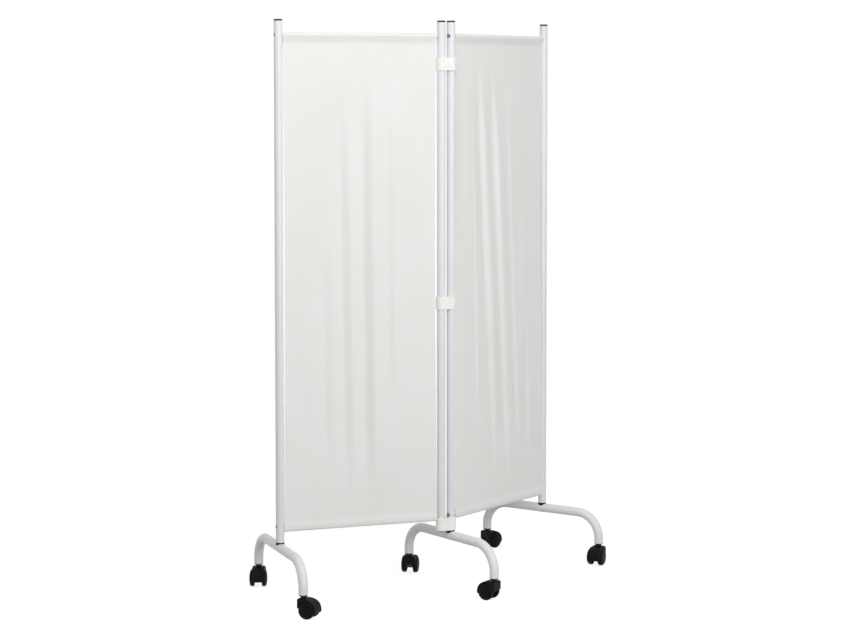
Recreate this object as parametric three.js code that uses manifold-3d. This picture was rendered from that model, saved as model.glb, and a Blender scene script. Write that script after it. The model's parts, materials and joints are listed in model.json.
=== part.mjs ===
// Two-panel privacy screen on wheels, as used around beds on a hospital ward.
// Each panel is two steel posts joined by two thin rails, with a cloth curtain sewn round the rails.
// Three double clips hinge the inner posts to each other, and three bent-tube feet carry six
// hooded twin-wheel castors. Lengths are in millimetres, angles in degrees, +Z is up, and +X runs
// along the left panel from its outer post to its inner post. The origin lies on the floor in the
// middle of the screen's footprint.

import * as THREE from 'three';
import { mergeVertices } from 'three/addons/utils/BufferGeometryUtils.js';
import Module from 'manifold-3d';

const wasm = await Module();
wasm.setup();

// Driving sizes of the screen
const overallHeight = 1710; // floor to the top of the post caps
const panelWidth = 500; // post axis to post axis
const postPitch = 31; // between the two post axes that the clips join
const tubeDiameter = 25;
const tubeWall = 1.5;
const legDiameter = 28; // of the bent tube, stouter than the posts
const footCrownHeight = 171; // floor to the top of the bent tube
const footSpan = 410; // castor stem to castor stem
const footBendRadius = 75; // on the tube's centre line

// How the screen stands, as angles from +X
const clipHeading = 3;
const rightPanelHeading = 35;
const footHeadings = { left: -85.4, middle: -69.8, right: -50.2 };
const castorHeadings = {
  left_front: -43,
  left_rear: -108,
  middle_front: 128,
  middle_rear: 61,
  right_front: -134.5,
  right_rear: 24,
};

// Fits shared by all the pieces
const seatGap = 0.3; // between faces that touch on the real screen
const runGap = 0.35; // round a pin that turns in its bore
const cutOverrun = 2;

// Post ends: caps, saddles and the socket bushes of the legs
const capHeight = 5;
const capEdgeChamfer = 1.2;
const plugWall = 2;
const plugLength = 18;
const passGap = 1; // over a foot that swings under the bottom cap
const saddleSeat = 3; // tube crown to post end
const saddleLipDrop = 8.5; // how far the lips reach below the post end
const boltBoreRadius = 3.2;

// Rails and curtains
const railDiameter = 12;
const railWall = 1.2;
const topRailDrop = 46; // cap top to rail axis
const clothThickness = 1.2;
const pocketDepth = 22; // cloth edge to the pocket's stitch line
const pocketSeam = 3; // stitched band below the pocket's bore
const curtainEndGap = 2; // cloth to post at the rails
const hemGap = 0.5; // bottom clip to the cloth above it
const outerEdgeDraw = 3; // how far the free edges draw in between the rails
const innerEdgeDraw = 6;
const edgeDrawReach = 70; // height over which an edge leaves the rail
const foldDepth = 4; // of the deepest fold, each way from the flat cloth
const foldSpread = 17; // from a fold's crease to its highest point

// Double clips
const clipHeight = 38;
const clipWall = 3;
const clipWaist = 29; // across the web between the two sleeves
const topClipDrop = 130; // cap top to the clip's middle
const middleClipDrop = 845;

// Castors
const wheelRadius = 25;
const wheelWidth = 16.2;
const wheelShoulder = 2.5;
const webThickness = 22; // of the housing between the wheels
const castorTrail = 19; // stem axis to axle
const hoodClearance = 1.5;
const hoodWall = 3;
const hoodWidth = 43;
const hoodTopWidth = 32; // across the flat top, between its rounded shoulders
const hoodShoulderDrop = 13;
const hoodCrownRise = 2.5; // of the flat top above the round hood
const hoodEdgeInset = 2.2;
const hoodEdgeDepth = 4;
const hoodCornerRadius = 3;
const hoodFlatLength = 8; // of the flat top behind the stem
const hoodFrontDrop = 27; // of the flat front face
const hoodJoinAngle = 60; // above the axle, where the flat top has run into the round hood
const hoodEndAngle = -15; // below the axle, where the hood's rear edge ends
const webFloorGap = 15.5; // floor to the underside of the web
const axleRadius = 3;
const axleEndGap = 1;
const hubRadius = 8;
const hubPocketDepth = 5.5;
const stemRadius = 5.5;
const stemDepth = 17; // inside the housing
const stemReach = 22; // up the leg from the flange
const stemGroove = 0.9;
const stemGrooveHeight = 3;
const stemTip = 2;
const neckRadius = 8;
const neckHeight = 4;
const flangeHeight = 5;
const flangeInset = 1; // of the flange's edge from the leg's outer face
const flangeTaper = 3.5;
const flangeLip = 1.5;

// Number of flat sides and steps that stand for round stretches
const tubeSides = 20;
const footTubeSides = 16;
const footBoreSides = 12;
const bendSteps = 6;
const railSides = 12;
const plugSides = 16;
const wheelSides = 16;
const bushSides = 12;
const pinSides = 10;
const hoodSteps = 4;
const clipSleeveSteps = 6;
const clipBoreSides = 20;
const pocketSteps = 4;
const pocketSides = 12; // of the full circle that a pocket's arc belongs to
const curtainColumns = 28;
const curtainRows = 10;

// Places that follow from the sizes above
const tubeRadius = tubeDiameter / 2;
const boreRadius = tubeRadius - tubeWall;
const plugRadius = boreRadius - seatGap;
const legRadius = legDiameter / 2;
const legBoreRadius = legRadius - tubeWall;
const legPlugRadius = legBoreRadius - seatGap;
const footAxisHeight = footCrownHeight - legRadius;
const postFootHeight = footCrownHeight + saddleSeat;
const postTopHeight = overallHeight - capHeight;
const axleHeight = wheelRadius;
const hoodRadius = wheelRadius + hoodClearance + hoodWall;
const hoodTopHeight = axleHeight + hoodRadius + hoodCrownRise;
const legEndHeight = hoodTopHeight + neckHeight + flangeHeight;
const railRadius = railDiameter / 2;
const pocketBoreRadius = boreCorner(railRadius + seatGap, pocketSides);
const pocketRadius = pocketBoreRadius + clothThickness;
const topRailHeight = overallHeight - topRailDrop;
const bottomClipHeight = postFootHeight + seatGap + clipHeight / 2;
const bottomRailHeight = postFootHeight + seatGap + clipHeight + hemGap + pocketRadius;

const materials = {
  paintedSteel: finish('#eef0f3', 0.35, 0.1),
  blackPlastic: finish('#1b1b1e', 0.55, 0),
  wheelPlastic: finish('#141416', 0.5, 0),
  creamPlastic: finish('#ebe8dd', 0.5, 0),
  cloth: finish('#e4e3df', 0.95, 0),
  plainSteel: finish('#b4b6b8', 0.35, 1),
};

function finish(color, roughness, metalness) {
  return new THREE.MeshStandardMaterial({ color, roughness, metalness });
}

function add(parent, name, geometry, material, place = [0, 0, 0]) {
  const mesh = new THREE.Mesh(geometry, material);
  mesh.name = name;
  mesh.position.set(...place);
  parent.add(mesh);
  return mesh;
}

function addGroup(parent, place, heading) {
  const group = new THREE.Group();
  group.position.set(...place);
  group.rotation.z = THREE.MathUtils.degToRad(heading);
  parent.add(group);
  return group;
}

// A bore with flat sides takes its round pin when its flats, not its corners, clear the pin.
function boreCorner(radius, sides) {
  return radius / Math.cos(Math.PI / sides);
}

function circlePoints(radius, sides, x = 0) {
  return Array.from({ length: sides }, (_, i) => {
    const angle = (2 * Math.PI * i) / sides;
    return new THREE.Vector2(x + radius * Math.cos(angle), radius * Math.sin(angle));
  });
}

// Solid modelling helpers

const weldTolerance = 1e-4;

function toSolid(geometry) {
  const bare = geometry.clone();
  bare.deleteAttribute('normal');
  bare.deleteAttribute('uv');
  const merged = mergeVertices(bare, weldTolerance);
  const vertProperties = Float32Array.from(merged.attributes.position.array);
  const triVerts = Uint32Array.from(merged.index.array);
  return new wasm.Manifold(new wasm.Mesh({ numProp: 3, vertProperties, triVerts }));
}

function toGeometry(solid) {
  const mesh = solid.getMesh();
  const geometry = new THREE.BufferGeometry();
  geometry.setAttribute('position', new THREE.BufferAttribute(mesh.vertProperties, 3));
  geometry.setIndex(new THREE.BufferAttribute(mesh.triVerts, 1));
  geometry.computeVertexNormals();
  return geometry;
}

// Profile points are [radius, height], from the foot of the axis out and up to its top.
function turned(profile, sides) {
  const points = profile.map(([radius, height]) => new THREE.Vector2(radius, height));
  return new THREE.LatheGeometry(points, sides).rotateX(Math.PI / 2);
}

function upright(radius, bottom, top, sides) {
  return turned([[0, bottom], [radius, bottom], [radius, top], [0, top]], sides);
}

// Draws a shape's curves as straight steps and drops points that fall on their neighbour.
function steppedShape(shape, steps) {
  const points = shape.getPoints(steps);
  const kept = points.filter((point, i) => {
    const next = points[(i + 1) % points.length];
    return point.distanceTo(next) > weldTolerance;
  });
  return new THREE.Shape(kept);
}

function ringShape(radius, bore) {
  const shape = new THREE.Shape();
  shape.absarc(0, 0, radius, 0, 2 * Math.PI);
  const hole = new THREE.Path();
  hole.absarc(0, 0, bore, 0, 2 * Math.PI);
  shape.holes.push(hole);
  return shape;
}

function straightTube(radius, wall, length, sides) {
  const shape = ringShape(radius, radius - wall);
  return new THREE.ExtrudeGeometry(shape, {
    depth: length,
    bevelEnabled: false,
    curveSegments: sides / 2,
  });
}

// Posts, caps and rails

function addPost(panel, name, x) {
  const length = postTopHeight - postFootHeight;
  const tube = straightTube(tubeRadius, tubeWall, length, tubeSides);
  add(panel, `${name}_post`, tube, materials.paintedSteel, [x, 0, postFootHeight]);
  add(panel, `${name}_cap`, capGeometry(capHeight), materials.blackPlastic, [x, 0, postTopHeight]);
}

// A cap's rim lies on the tube's end and its hollow plug fills the bore below.
function capGeometry(rimHeight) {
  const chamfer = Math.min(capEdgeChamfer, rimHeight / 2);
  return turned([
    [0, -plugWall],
    [plugRadius - plugWall, -plugWall],
    [plugRadius - plugWall, -plugLength],
    [plugRadius, -plugLength],
    [plugRadius, seatGap],
    [tubeRadius, seatGap],
    [tubeRadius, rimHeight - chamfer],
    [tubeRadius - chamfer, rimHeight],
    [0, rimHeight],
  ], plugSides);
}

// The inner post of the left panel stands beside the middle foot, so it ends in a thin cap.
function addBottomCap(panel, x) {
  const geometry = capGeometry(saddleSeat - passGap).rotateX(Math.PI);
  const place = [x, 0, postFootHeight];
  add(panel, 'left_inner_bottom_cap', geometry, materials.blackPlastic, place);
}

function addRail(panel, name, height) {
  const length = panelWidth - tubeDiameter - 2 * seatGap;
  const tube = straightTube(railRadius, railWall, length, railSides).rotateY(Math.PI / 2);
  const place = [tubeRadius + seatGap, 0, height];
  add(panel, `${name}_rail`, tube, materials.paintedSteel, place);
}

// Curtains

// Section of a rod pocket: a drop-shaped tube round the rail that closes in a stitched band of
// two layers. Its first coordinate is depth through the cloth and its second is height below the
// rail's axis, turned up.
function pocketSection() {
  const bandHeight = pocketDepth - pocketRadius;
  const tipHeight = bandHeight - pocketSeam;
  const outerLean = Math.acos(pocketRadius / bandHeight);
  const boreLean = Math.acos(pocketBoreRadius / tipHeight);
  const up = Math.PI / 2;
  const shape = new THREE.Shape();
  shape.moveTo(-clothThickness, bandHeight);
  shape.lineTo(-pocketRadius * Math.sin(outerLean), pocketRadius * Math.cos(outerLean));
  shape.absarc(0, 0, pocketRadius, up + outerLean, up - outerLean + 2 * Math.PI);
  shape.lineTo(clothThickness, bandHeight);
  shape.closePath();
  const bore = new THREE.Path();
  bore.absarc(0, 0, pocketBoreRadius, up + boreLean, up - boreLean + 2 * Math.PI);
  bore.lineTo(0, tipHeight);
  bore.closePath();
  shape.holes.push(bore);
  return shape;
}

function pocketSolid(width) {
  const geometry = new THREE.ExtrudeGeometry(pocketSection(), {
    depth: width,
    bevelEnabled: false,
    curveSegments: pocketSteps,
  });
  const depthAxis = new THREE.Vector3(0, 1, 0);
  const heightAxis = new THREE.Vector3(0, 0, 1);
  const widthAxis = new THREE.Vector3(1, 0, 0);
  return geometry.applyMatrix4(new THREE.Matrix4().makeBasis(depthAxis, heightAxis, widthAxis));
}

// Soft upright folds. Each has a crease that leans from one share of the cloth's width at the top
// rail to another at the bottom rail. The cloth stands out in front on the crease's left and sinks
// back on its right, most at one spread from it.
const foldStartShare = 0.025; // of the height, at each rail, that stays flat
const foldFadeShare = 0.22; // by which a fold has come to its full depth
const foldColumnCrowdingShare = 0.45; // how much closer the columns stand in the middle
const leftFoldShares = [
  { top: 0.28, foot: 0.3, depth: 0.5, spread: 1 },
  { top: 0.39, foot: 0.43, depth: 0.8, spread: 1 },
  { top: 0.54, foot: 0.57, depth: 1, spread: 1 },
  { top: 0.7, foot: 0.72, depth: 0.5, spread: 1 },
];
const rightFoldShares = [
  { top: 0.21, foot: 0.4, depth: 0.8, spread: 1.1 },
  { top: 0.31, foot: 0.57, depth: 1, spread: 1.1 },
  { top: 0.45, foot: 0.71, depth: 1, spread: 1.1 },
  { top: 0.64, foot: 0.84, depth: 0.4, spread: 1.2 },
];

function foldOffset(foldShares, x, width, heightShare) {
  const rise = THREE.MathUtils.smoothstep(heightShare, foldStartShare, foldFadeShare);
  const fall = THREE.MathUtils.smoothstep(1 - heightShare, foldStartShare, foldFadeShare);
  let offset = 0;
  for (const fold of foldShares) {
    const centreShare = THREE.MathUtils.lerp(fold.foot, fold.top, heightShare);
    const away = (x - centreShare * width) / (fold.spread * foldSpread);
    offset += fold.depth * foldDepth * away * Math.exp((1 - away * away) / 2);
  }
  return offset * rise * fall;
}

function edgeDraw(fromRail) {
  return 1 - Math.exp(-fromRail / edgeDrawReach);
}

// Moves a flat sheet's points into the folds and draws its free edges in. The sheet's X runs
// from zero to its width and its Z from zero to its height.
function drapeSheet(geometry, width, height, foldShares, nearDraw, farDraw) {
  const points = geometry.attributes.position;
  const crowd = foldColumnCrowdingShare / (2 * Math.PI);
  for (let i = 0; i < points.count; i += 1) {
    const share = points.getX(i) / width;
    const heightShare = (1 - Math.cos((Math.PI * points.getZ(i)) / height)) / 2;
    const z = height * heightShare;
    const x = width * (share + crowd * Math.sin(2 * Math.PI * share));
    const draw = edgeDraw(Math.min(z, height - z));
    points.setX(i, x + draw * (nearDraw * (1 - share) - farDraw * share));
    points.setY(i, points.getY(i) + foldOffset(foldShares, x, width, heightShare));
    points.setZ(i, z);
  }
  return geometry;
}

// Turns the diagonals in the front skin of a flat sheet, so that both skins bend along the same
// lines and the cloth keeps its thickness in the folds. Its side number counts as a box's sides do.
const frontSide = 3;
function matchDiagonals(sheet) {
  const corners = sheet.index.array;
  const { start, count } = sheet.groups[frontSide];
  for (let i = start; i < start + count; i += 6) {
    const [a, b, d, , c] = corners.slice(i, i + 6);
    corners.set([a, b, c, a, c, d], i);
  }
}

// The sheet between the pockets, lapped into their stitched bands.
function sheetSolid(width, spec) {
  const foot = bottomRailHeight + pocketDepth - pocketRadius - pocketSeam / 2;
  const height = topRailHeight - pocketDepth + pocketRadius + pocketSeam / 2 - foot;
  const flat = new THREE.BoxGeometry(
    width,
    clothThickness,
    height,
    curtainColumns,
    1,
    curtainRows,
  ).translate(width / 2, 0, height / 2);
  matchDiagonals(flat);
  const inner = spec.innerSide > 0;
  const nearDraw = inner ? outerEdgeDraw : innerEdgeDraw;
  const farDraw = inner ? innerEdgeDraw : outerEdgeDraw;
  const sheet = drapeSheet(flat, width, height, spec.foldShares, nearDraw, farDraw);
  return sheet.translate(0, 0, foot);
}

// innerSide is +1 where the clips are at the far end of the panel's X, and -1 at its near end.
function addCurtain(panel, spec) {
  const start = tubeRadius + curtainEndGap;
  const width = panelWidth - 2 * start;
  const bottom = pocketSolid(width).translate(0, 0, bottomRailHeight);
  const top = pocketSolid(width).rotateX(Math.PI).translate(0, 0, topRailHeight);
  const sheet = toSolid(sheetSolid(width, spec));
  const geometry = toGeometry(sheet.add(toSolid(bottom)).add(toSolid(top)));
  add(panel, `${spec.side}_curtain`, geometry, materials.cloth, [start, 0, 0]);
}

function buildPanel(parent, place, heading, spec) {
  const panel = addGroup(parent, place, heading);
  addPost(panel, spec.nearPost, 0);
  addPost(panel, spec.farPost, panelWidth);
  addRail(panel, `${spec.side}_top`, topRailHeight);
  addRail(panel, `${spec.side}_bottom`, bottomRailHeight);
  addCurtain(panel, spec);
  return panel;
}

// Double clips

// Two round sleeves joined by a web, seen from above, with the left sleeve on the group's axis.
function clipShape() {
  const bore = boreCorner(tubeRadius + seatGap, clipBoreSides);
  const sleeve = tubeRadius + seatGap + clipWall;
  const waistAngle = Math.asin(clipWaist / 2 / sleeve);
  const shape = new THREE.Shape();
  shape.absarc(0, 0, sleeve, waistAngle, 2 * Math.PI - waistAngle);
  shape.absarc(postPitch, 0, sleeve, waistAngle - Math.PI, Math.PI - waistAngle);
  shape.closePath();
  for (const x of [0, postPitch]) {
    shape.holes.push(new THREE.Path(circlePoints(bore, clipBoreSides, x)));
  }
  return shape;
}

function buildClips(parent, place) {
  const clips = addGroup(parent, place, clipHeading);
  const middles = {
    top_clip: overallHeight - topClipDrop,
    middle_clip: overallHeight - middleClipDrop,
    bottom_clip: bottomClipHeight,
  };
  for (const [name, middle] of Object.entries(middles)) {
    const geometry = new THREE.ExtrudeGeometry(clipShape(), {
      depth: clipHeight,
      bevelEnabled: false,
      curveSegments: clipSleeveSteps,
    });
    add(clips, name, geometry, materials.creamPlastic, [0, 0, middle - clipHeight / 2]);
  }
}

// Feet

// Centre line of a foot: up the rear leg, round a bend, along the crown, round the other bend
// and down the front leg. Each straight takes one step and each bend takes bendSteps.
class FootPath extends THREE.Curve {
  getUtoTmapping(u) {
    return u;
  }

  getPoint(t, target = new THREE.Vector3()) {
    const half = footSpan / 2;
    const bendCentre = half - footBendRadius;
    const bendHeight = footAxisHeight - footBendRadius;
    const stepsEachSide = bendSteps + 1.5;
    const step = (2 * t - 1) * stepsEachSide;
    const side = Math.sign(step);
    const fromMiddle = Math.abs(step);
    if (fromMiddle <= 0.5) {
      return target.set(side * 2 * fromMiddle * bendCentre, 0, footAxisHeight);
    }
    if (fromMiddle <= 0.5 + bendSteps) {
      const angle = ((fromMiddle - 0.5) / bendSteps) * (Math.PI / 2);
      const out = bendCentre + footBendRadius * Math.sin(angle);
      return target.set(side * out, 0, bendHeight + footBendRadius * Math.cos(angle));
    }
    const share = fromMiddle - 0.5 - bendSteps;
    return target.set(side * half, 0, THREE.MathUtils.lerp(bendHeight, legEndHeight, share));
  }
}

function archGeometry() {
  const section = new THREE.Shape(circlePoints(legRadius, footTubeSides));
  const boreCorners = circlePoints(boreCorner(legBoreRadius, footBoreSides), footBoreSides);
  section.holes.push(new THREE.Path(boreCorners));
  return new THREE.ExtrudeGeometry(section, {
    steps: 2 * bendSteps + 3,
    bevelEnabled: false,
    extrudePath: new FootPath(),
  });
}

// A plug in the post's end whose mouth is shaped to ride the foot's round crown.
function saddleGeometry() {
  const lipHeight = postFootHeight - saddleLipDrop;
  const body = toSolid(turned([
    [0, lipHeight],
    [tubeRadius, lipHeight],
    [tubeRadius, postFootHeight - seatGap],
    [plugRadius, postFootHeight - seatGap],
    [plugRadius, postFootHeight + plugLength],
    [0, postFootHeight + plugLength],
  ], plugSides));
  const mouthCorner = boreCorner(legRadius + seatGap, tubeSides);
  const mouthLength = tubeDiameter + 2 * cutOverrun;
  const mouth = new THREE.CylinderGeometry(mouthCorner, mouthCorner, mouthLength, tubeSides)
    .rotateZ(Math.PI / 2).translate(0, 0, footAxisHeight);
  const top = postFootHeight + plugLength + cutOverrun;
  const bore = toSolid(upright(boltBoreRadius, footAxisHeight, top, pinSides));
  return toGeometry(body.subtract(toSolid(mouth)).subtract(bore));
}

function buildFoot(parent, place, name, heading, panelHeading) {
  const foot = addGroup(parent, place, heading - panelHeading);
  add(foot, `${name}_foot_arch`, archGeometry(), materials.paintedSteel);
  add(foot, `${name}_saddle`, saddleGeometry(), materials.blackPlastic);
  const ends = { front: footSpan / 2, rear: -footSpan / 2 };
  for (const [end, x] of Object.entries(ends)) {
    const castorName = `${name}_${end}`;
    buildCastor(foot, [x, 0, 0], castorName, castorHeadings[castorName] - heading);
  }
}

// Castors
// In a castor's own frame the stem stands on the Z axis and the wheels trail towards +X.

// Socket pressed into the leg: a tapered flange under the tube's end and a plug inside it.
function bushGeometry() {
  const bore = boreCorner(stemRadius + seatGap, bushSides);
  const foot = hoodTopHeight + neckHeight + seatGap;
  const seat = legEndHeight - seatGap;
  const flange = legRadius - flangeInset;
  return turned([
    [bore, foot],
    [flange - flangeTaper, foot],
    [flange, seat - flangeLip],
    [flange, seat],
    [legPlugRadius - plugWall / 2, seat],
    [legPlugRadius, legEndHeight + plugLength],
    [bore, legEndHeight + plugLength],
    [bore, foot],
  ], bushSides);
}

// The stem has a collar that the housing turns under and a groove for its grip ring.
function stemGeometry() {
  const foot = hoodTopHeight - stemDepth + seatGap;
  const collar = hoodTopHeight + seatGap;
  const flange = hoodTopHeight + neckHeight;
  const top = legEndHeight + stemReach;
  const grooveTop = top - stemTip - stemGrooveHeight;
  return turned([
    [0, foot],
    [stemRadius, foot],
    [stemRadius, collar],
    [neckRadius, collar],
    [neckRadius, flange],
    [stemRadius, flange],
    [stemRadius, grooveTop - stemGrooveHeight],
    [stemRadius - stemGroove, grooveTop - stemGrooveHeight],
    [stemRadius - stemGroove, grooveTop],
    [stemRadius, grooveTop],
    [stemRadius - stemGroove, top],
    [0, top],
  ], pinSides);
}

// Side view of the housing: a flat front face under a rounded corner, a flat top that runs
// down into the round hood, and the straight underside of the web.
function housingOutline() {
  const front = castorTrail - hoodRadius;
  const frontFoot = hoodTopHeight - hoodFrontDrop;
  const joinAngle = THREE.MathUtils.degToRad(hoodJoinAngle);
  const endAngle = THREE.MathUtils.degToRad(hoodEndAngle);
  const joinX = castorTrail + hoodRadius * Math.cos(joinAngle);
  const joinZ = axleHeight + hoodRadius * Math.sin(joinAngle);
  const controlX = joinX - (hoodTopHeight - joinZ) * Math.tan(joinAngle);
  const shape = new THREE.Shape();
  shape.moveTo(front, frontFoot);
  shape.lineTo(front, hoodTopHeight - hoodCornerRadius);
  shape.quadraticCurveTo(front, hoodTopHeight, front + hoodCornerRadius, hoodTopHeight);
  shape.lineTo(hoodFlatLength, hoodTopHeight);
  shape.quadraticCurveTo(controlX, hoodTopHeight, joinX, joinZ);
  shape.absarc(castorTrail, axleHeight, hoodRadius, joinAngle, endAngle, true);
  shape.lineTo(castorTrail + 2 * hubRadius, webFloorGap);
  shape.lineTo(castorTrail - hubRadius, webFloorGap);
  shape.closePath();
  return shape;
}

// Front view of the housing: straight sides under rounded shoulders.
function housingFrontShape() {
  const half = hoodWidth / 2;
  const shoulder = hoodTopHeight - hoodShoulderDrop;
  const control = hoodTopHeight - hoodEdgeDepth;
  const shape = new THREE.Shape();
  shape.moveTo(-half, 0);
  shape.lineTo(half, 0);
  shape.lineTo(half, shoulder);
  shape.quadraticCurveTo(half, control, hoodTopWidth / 2, hoodTopHeight);
  shape.lineTo(-hoodTopWidth / 2, hoodTopHeight);
  shape.quadraticCurveTo(-half, control, -half, shoulder);
  shape.closePath();
  return shape;
}

// One moulding: the bevelled side view, trimmed to the front view, less a round well for each
// wheel, the axle's bore and the stem's socket.
function housingGeometry() {
  const outline = steppedShape(housingOutline(), hoodSteps);
  const body = toSolid(new THREE.ExtrudeGeometry(outline, {
    depth: hoodWidth - 2 * hoodEdgeDepth,
    bevelEnabled: true,
    bevelThickness: hoodEdgeDepth,
    bevelSize: hoodEdgeInset,
    bevelOffset: -hoodEdgeInset,
    bevelSegments: 2,
  }).translate(0, 0, hoodEdgeDepth - hoodWidth / 2).rotateX(Math.PI / 2));
  const trimLength = castorTrail + 2 * hoodRadius;
  const trim = new THREE.ExtrudeGeometry(steppedShape(housingFrontShape(), hoodSteps), {
    depth: 2 * trimLength,
    bevelEnabled: false,
  }).rotateX(Math.PI / 2).rotateZ(Math.PI / 2).translate(-trimLength, 0, 0);
  const wellDepth = hoodWidth / 2 + cutOverrun - webThickness / 2;
  const well = new THREE.CylinderGeometry(
    wheelRadius + hoodClearance,
    wheelRadius + hoodClearance,
    wellDepth,
    tubeSides,
  );
  const wellMiddle = (webThickness + wellDepth) / 2;
  let solid = body.intersect(toSolid(trim));
  for (const side of [-1, 1]) {
    const cut = well.clone().translate(castorTrail, side * wellMiddle, axleHeight);
    solid = solid.subtract(toSolid(cut));
  }
  const axleCorner = boreCorner(axleRadius + seatGap, pinSides);
  const axleBore = new THREE.CylinderGeometry(axleCorner, axleCorner, hoodWidth, pinSides)
    .translate(castorTrail, 0, axleHeight);
  const socketFoot = hoodTopHeight - stemDepth;
  const socketTop = hoodTopHeight + cutOverrun;
  const socketCorner = boreCorner(stemRadius + runGap, pinSides);
  const socket = upright(socketCorner, socketFoot, socketTop, pinSides);
  solid = solid.subtract(toSolid(axleBore)).subtract(toSolid(socket));
  return toGeometry(solid);
}

// The outer face is a smooth dome. The inner face is dished round a hub that is bored for the
// axle. Radii down the dome are shares of the wheel's radius, and heights shares of its width.
const domeEdgeRadiusShare = 0.9;
const domeEdgeShare = 0.78;
const domeMiddleRadiusShare = 0.5;
const domeMiddleShare = 0.95;
const treadEdgeShare = 0.56;
const axleBoreShare = 0.72;

function wheelGeometry() {
  const vertexRadius = boreCorner(wheelRadius, wheelSides);
  const bore = boreCorner(axleRadius + runGap, wheelSides);
  const rim = wheelRadius - wheelShoulder;
  const profile = [
    [bore, 0],
    [hubRadius, 0],
    [hubRadius, hubPocketDepth],
    [rim, hubPocketDepth],
    [rim, seatGap],
    [vertexRadius, seatGap + wheelShoulder / 2],
    [vertexRadius, wheelWidth * treadEdgeShare],
    [vertexRadius * domeEdgeRadiusShare, wheelWidth * domeEdgeShare],
    [vertexRadius * domeMiddleRadiusShare, wheelWidth * domeMiddleShare],
    [0, wheelWidth],
    [0, wheelWidth * axleBoreShare],
    [bore, wheelWidth * axleBoreShare],
    [bore, 0],
  ];
  const points = profile.map(([radius, out]) => new THREE.Vector2(radius, out));
  return new THREE.LatheGeometry(points, wheelSides).rotateY(Math.PI / wheelSides);
}

function addWheel(castor, name, side) {
  const geometry = wheelGeometry();
  if (side < 0) {
    geometry.rotateX(Math.PI);
  }
  const place = [castorTrail, side * (webThickness / 2 + seatGap), axleHeight];
  add(castor, name, geometry, materials.wheelPlastic, place);
}

function buildCastor(foot, place, name, heading) {
  const castor = addGroup(foot, place, heading);
  const axleLength = webThickness + 2 * (seatGap + wheelWidth * axleBoreShare - axleEndGap);
  const axle = new THREE.CylinderGeometry(axleRadius, axleRadius, axleLength, pinSides);
  add(castor, `${name}_bush`, bushGeometry(), materials.blackPlastic);
  add(castor, `${name}_stem`, stemGeometry(), materials.plainSteel);
  add(castor, `${name}_housing`, housingGeometry(), materials.blackPlastic);
  add(castor, `${name}_axle`, axle, materials.plainSteel, [castorTrail, 0, axleHeight]);
  addWheel(castor, `${name}_wheel_a`, 1);
  addWheel(castor, `${name}_wheel_b`, -1);
}

// The whole screen

function alongHeading(from, length, heading) {
  const angle = THREE.MathUtils.degToRad(heading);
  return [from[0] + length * Math.cos(angle), from[1] + length * Math.sin(angle), 0];
}

function buildScreen() {
  const screen = new THREE.Group();
  const leftPost = [0, 0, 0];
  const hingePost = alongHeading(leftPost, panelWidth, 0);
  const middlePost = alongHeading(hingePost, postPitch, clipHeading);
  const leftPanel = buildPanel(screen, leftPost, 0, {
    side: 'left',
    nearPost: 'left_outer',
    farPost: 'left_inner',
    foldShares: leftFoldShares,
    innerSide: 1,
  });
  addBottomCap(leftPanel, panelWidth);
  buildFoot(leftPanel, [0, 0, 0], 'left', footHeadings.left, 0);
  buildClips(screen, hingePost);
  const rightPanel = buildPanel(screen, middlePost, rightPanelHeading, {
    side: 'right',
    nearPost: 'right_inner',
    farPost: 'right_outer',
    foldShares: rightFoldShares,
    innerSide: -1,
  });
  buildFoot(rightPanel, [0, 0, 0], 'middle', footHeadings.middle, rightPanelHeading);
  buildFoot(rightPanel, [panelWidth, 0, 0], 'right', footHeadings.right, rightPanelHeading);
  return screen;
}

// Moves the screen so that its origin is under the middle of its bounding box.
function centreOnFloor(screen) {
  screen.updateMatrixWorld(true);
  const middle = new THREE.Box3().setFromObject(screen, true).getCenter(new THREE.Vector3());
  screen.position.set(-middle.x, -middle.y, 0);
  return screen;
}

export default centreOnFloor(buildScreen());
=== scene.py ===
"""Looks of a two-panel ward privacy screen on wheels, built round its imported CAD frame.

The screen is two steel-tube panels with sewn curtains, three double clips that hinge them, three
bent-tube feet and six hooded twin-wheel castors. Shapes are worked out in millimetres, in the
frame of the sub-assembly they belong to, and become metres in the row frame when a mesh is made.
"""

import json
import logging
import math
from dataclasses import dataclass
from enum import Enum
from functools import cache

import bpy
import numpy as np
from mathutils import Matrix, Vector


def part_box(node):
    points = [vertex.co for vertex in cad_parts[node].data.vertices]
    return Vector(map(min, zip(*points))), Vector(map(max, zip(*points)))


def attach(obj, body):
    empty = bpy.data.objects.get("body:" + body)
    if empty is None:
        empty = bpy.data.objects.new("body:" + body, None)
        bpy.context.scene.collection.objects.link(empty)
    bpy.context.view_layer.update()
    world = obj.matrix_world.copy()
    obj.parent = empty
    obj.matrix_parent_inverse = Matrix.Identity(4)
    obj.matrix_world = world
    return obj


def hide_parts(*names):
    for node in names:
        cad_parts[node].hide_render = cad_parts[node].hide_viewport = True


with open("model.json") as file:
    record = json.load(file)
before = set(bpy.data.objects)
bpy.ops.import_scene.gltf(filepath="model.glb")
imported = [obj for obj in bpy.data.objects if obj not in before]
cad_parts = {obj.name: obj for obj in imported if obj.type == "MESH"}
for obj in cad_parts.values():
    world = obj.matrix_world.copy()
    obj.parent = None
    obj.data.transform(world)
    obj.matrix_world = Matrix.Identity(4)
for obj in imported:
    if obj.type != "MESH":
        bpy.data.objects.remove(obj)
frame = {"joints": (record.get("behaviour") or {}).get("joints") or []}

LOG = logging.getLogger("ward_screen")
MM = 0.001  # metres in a millimetre
WELD = 1e-4  # mm, points closer than this are one
FULL_TURN = 2 * math.pi
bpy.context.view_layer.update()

Array = np.ndarray
Corner = tuple[float, float, float]
Socket = bpy.types.NodeSocket

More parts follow.
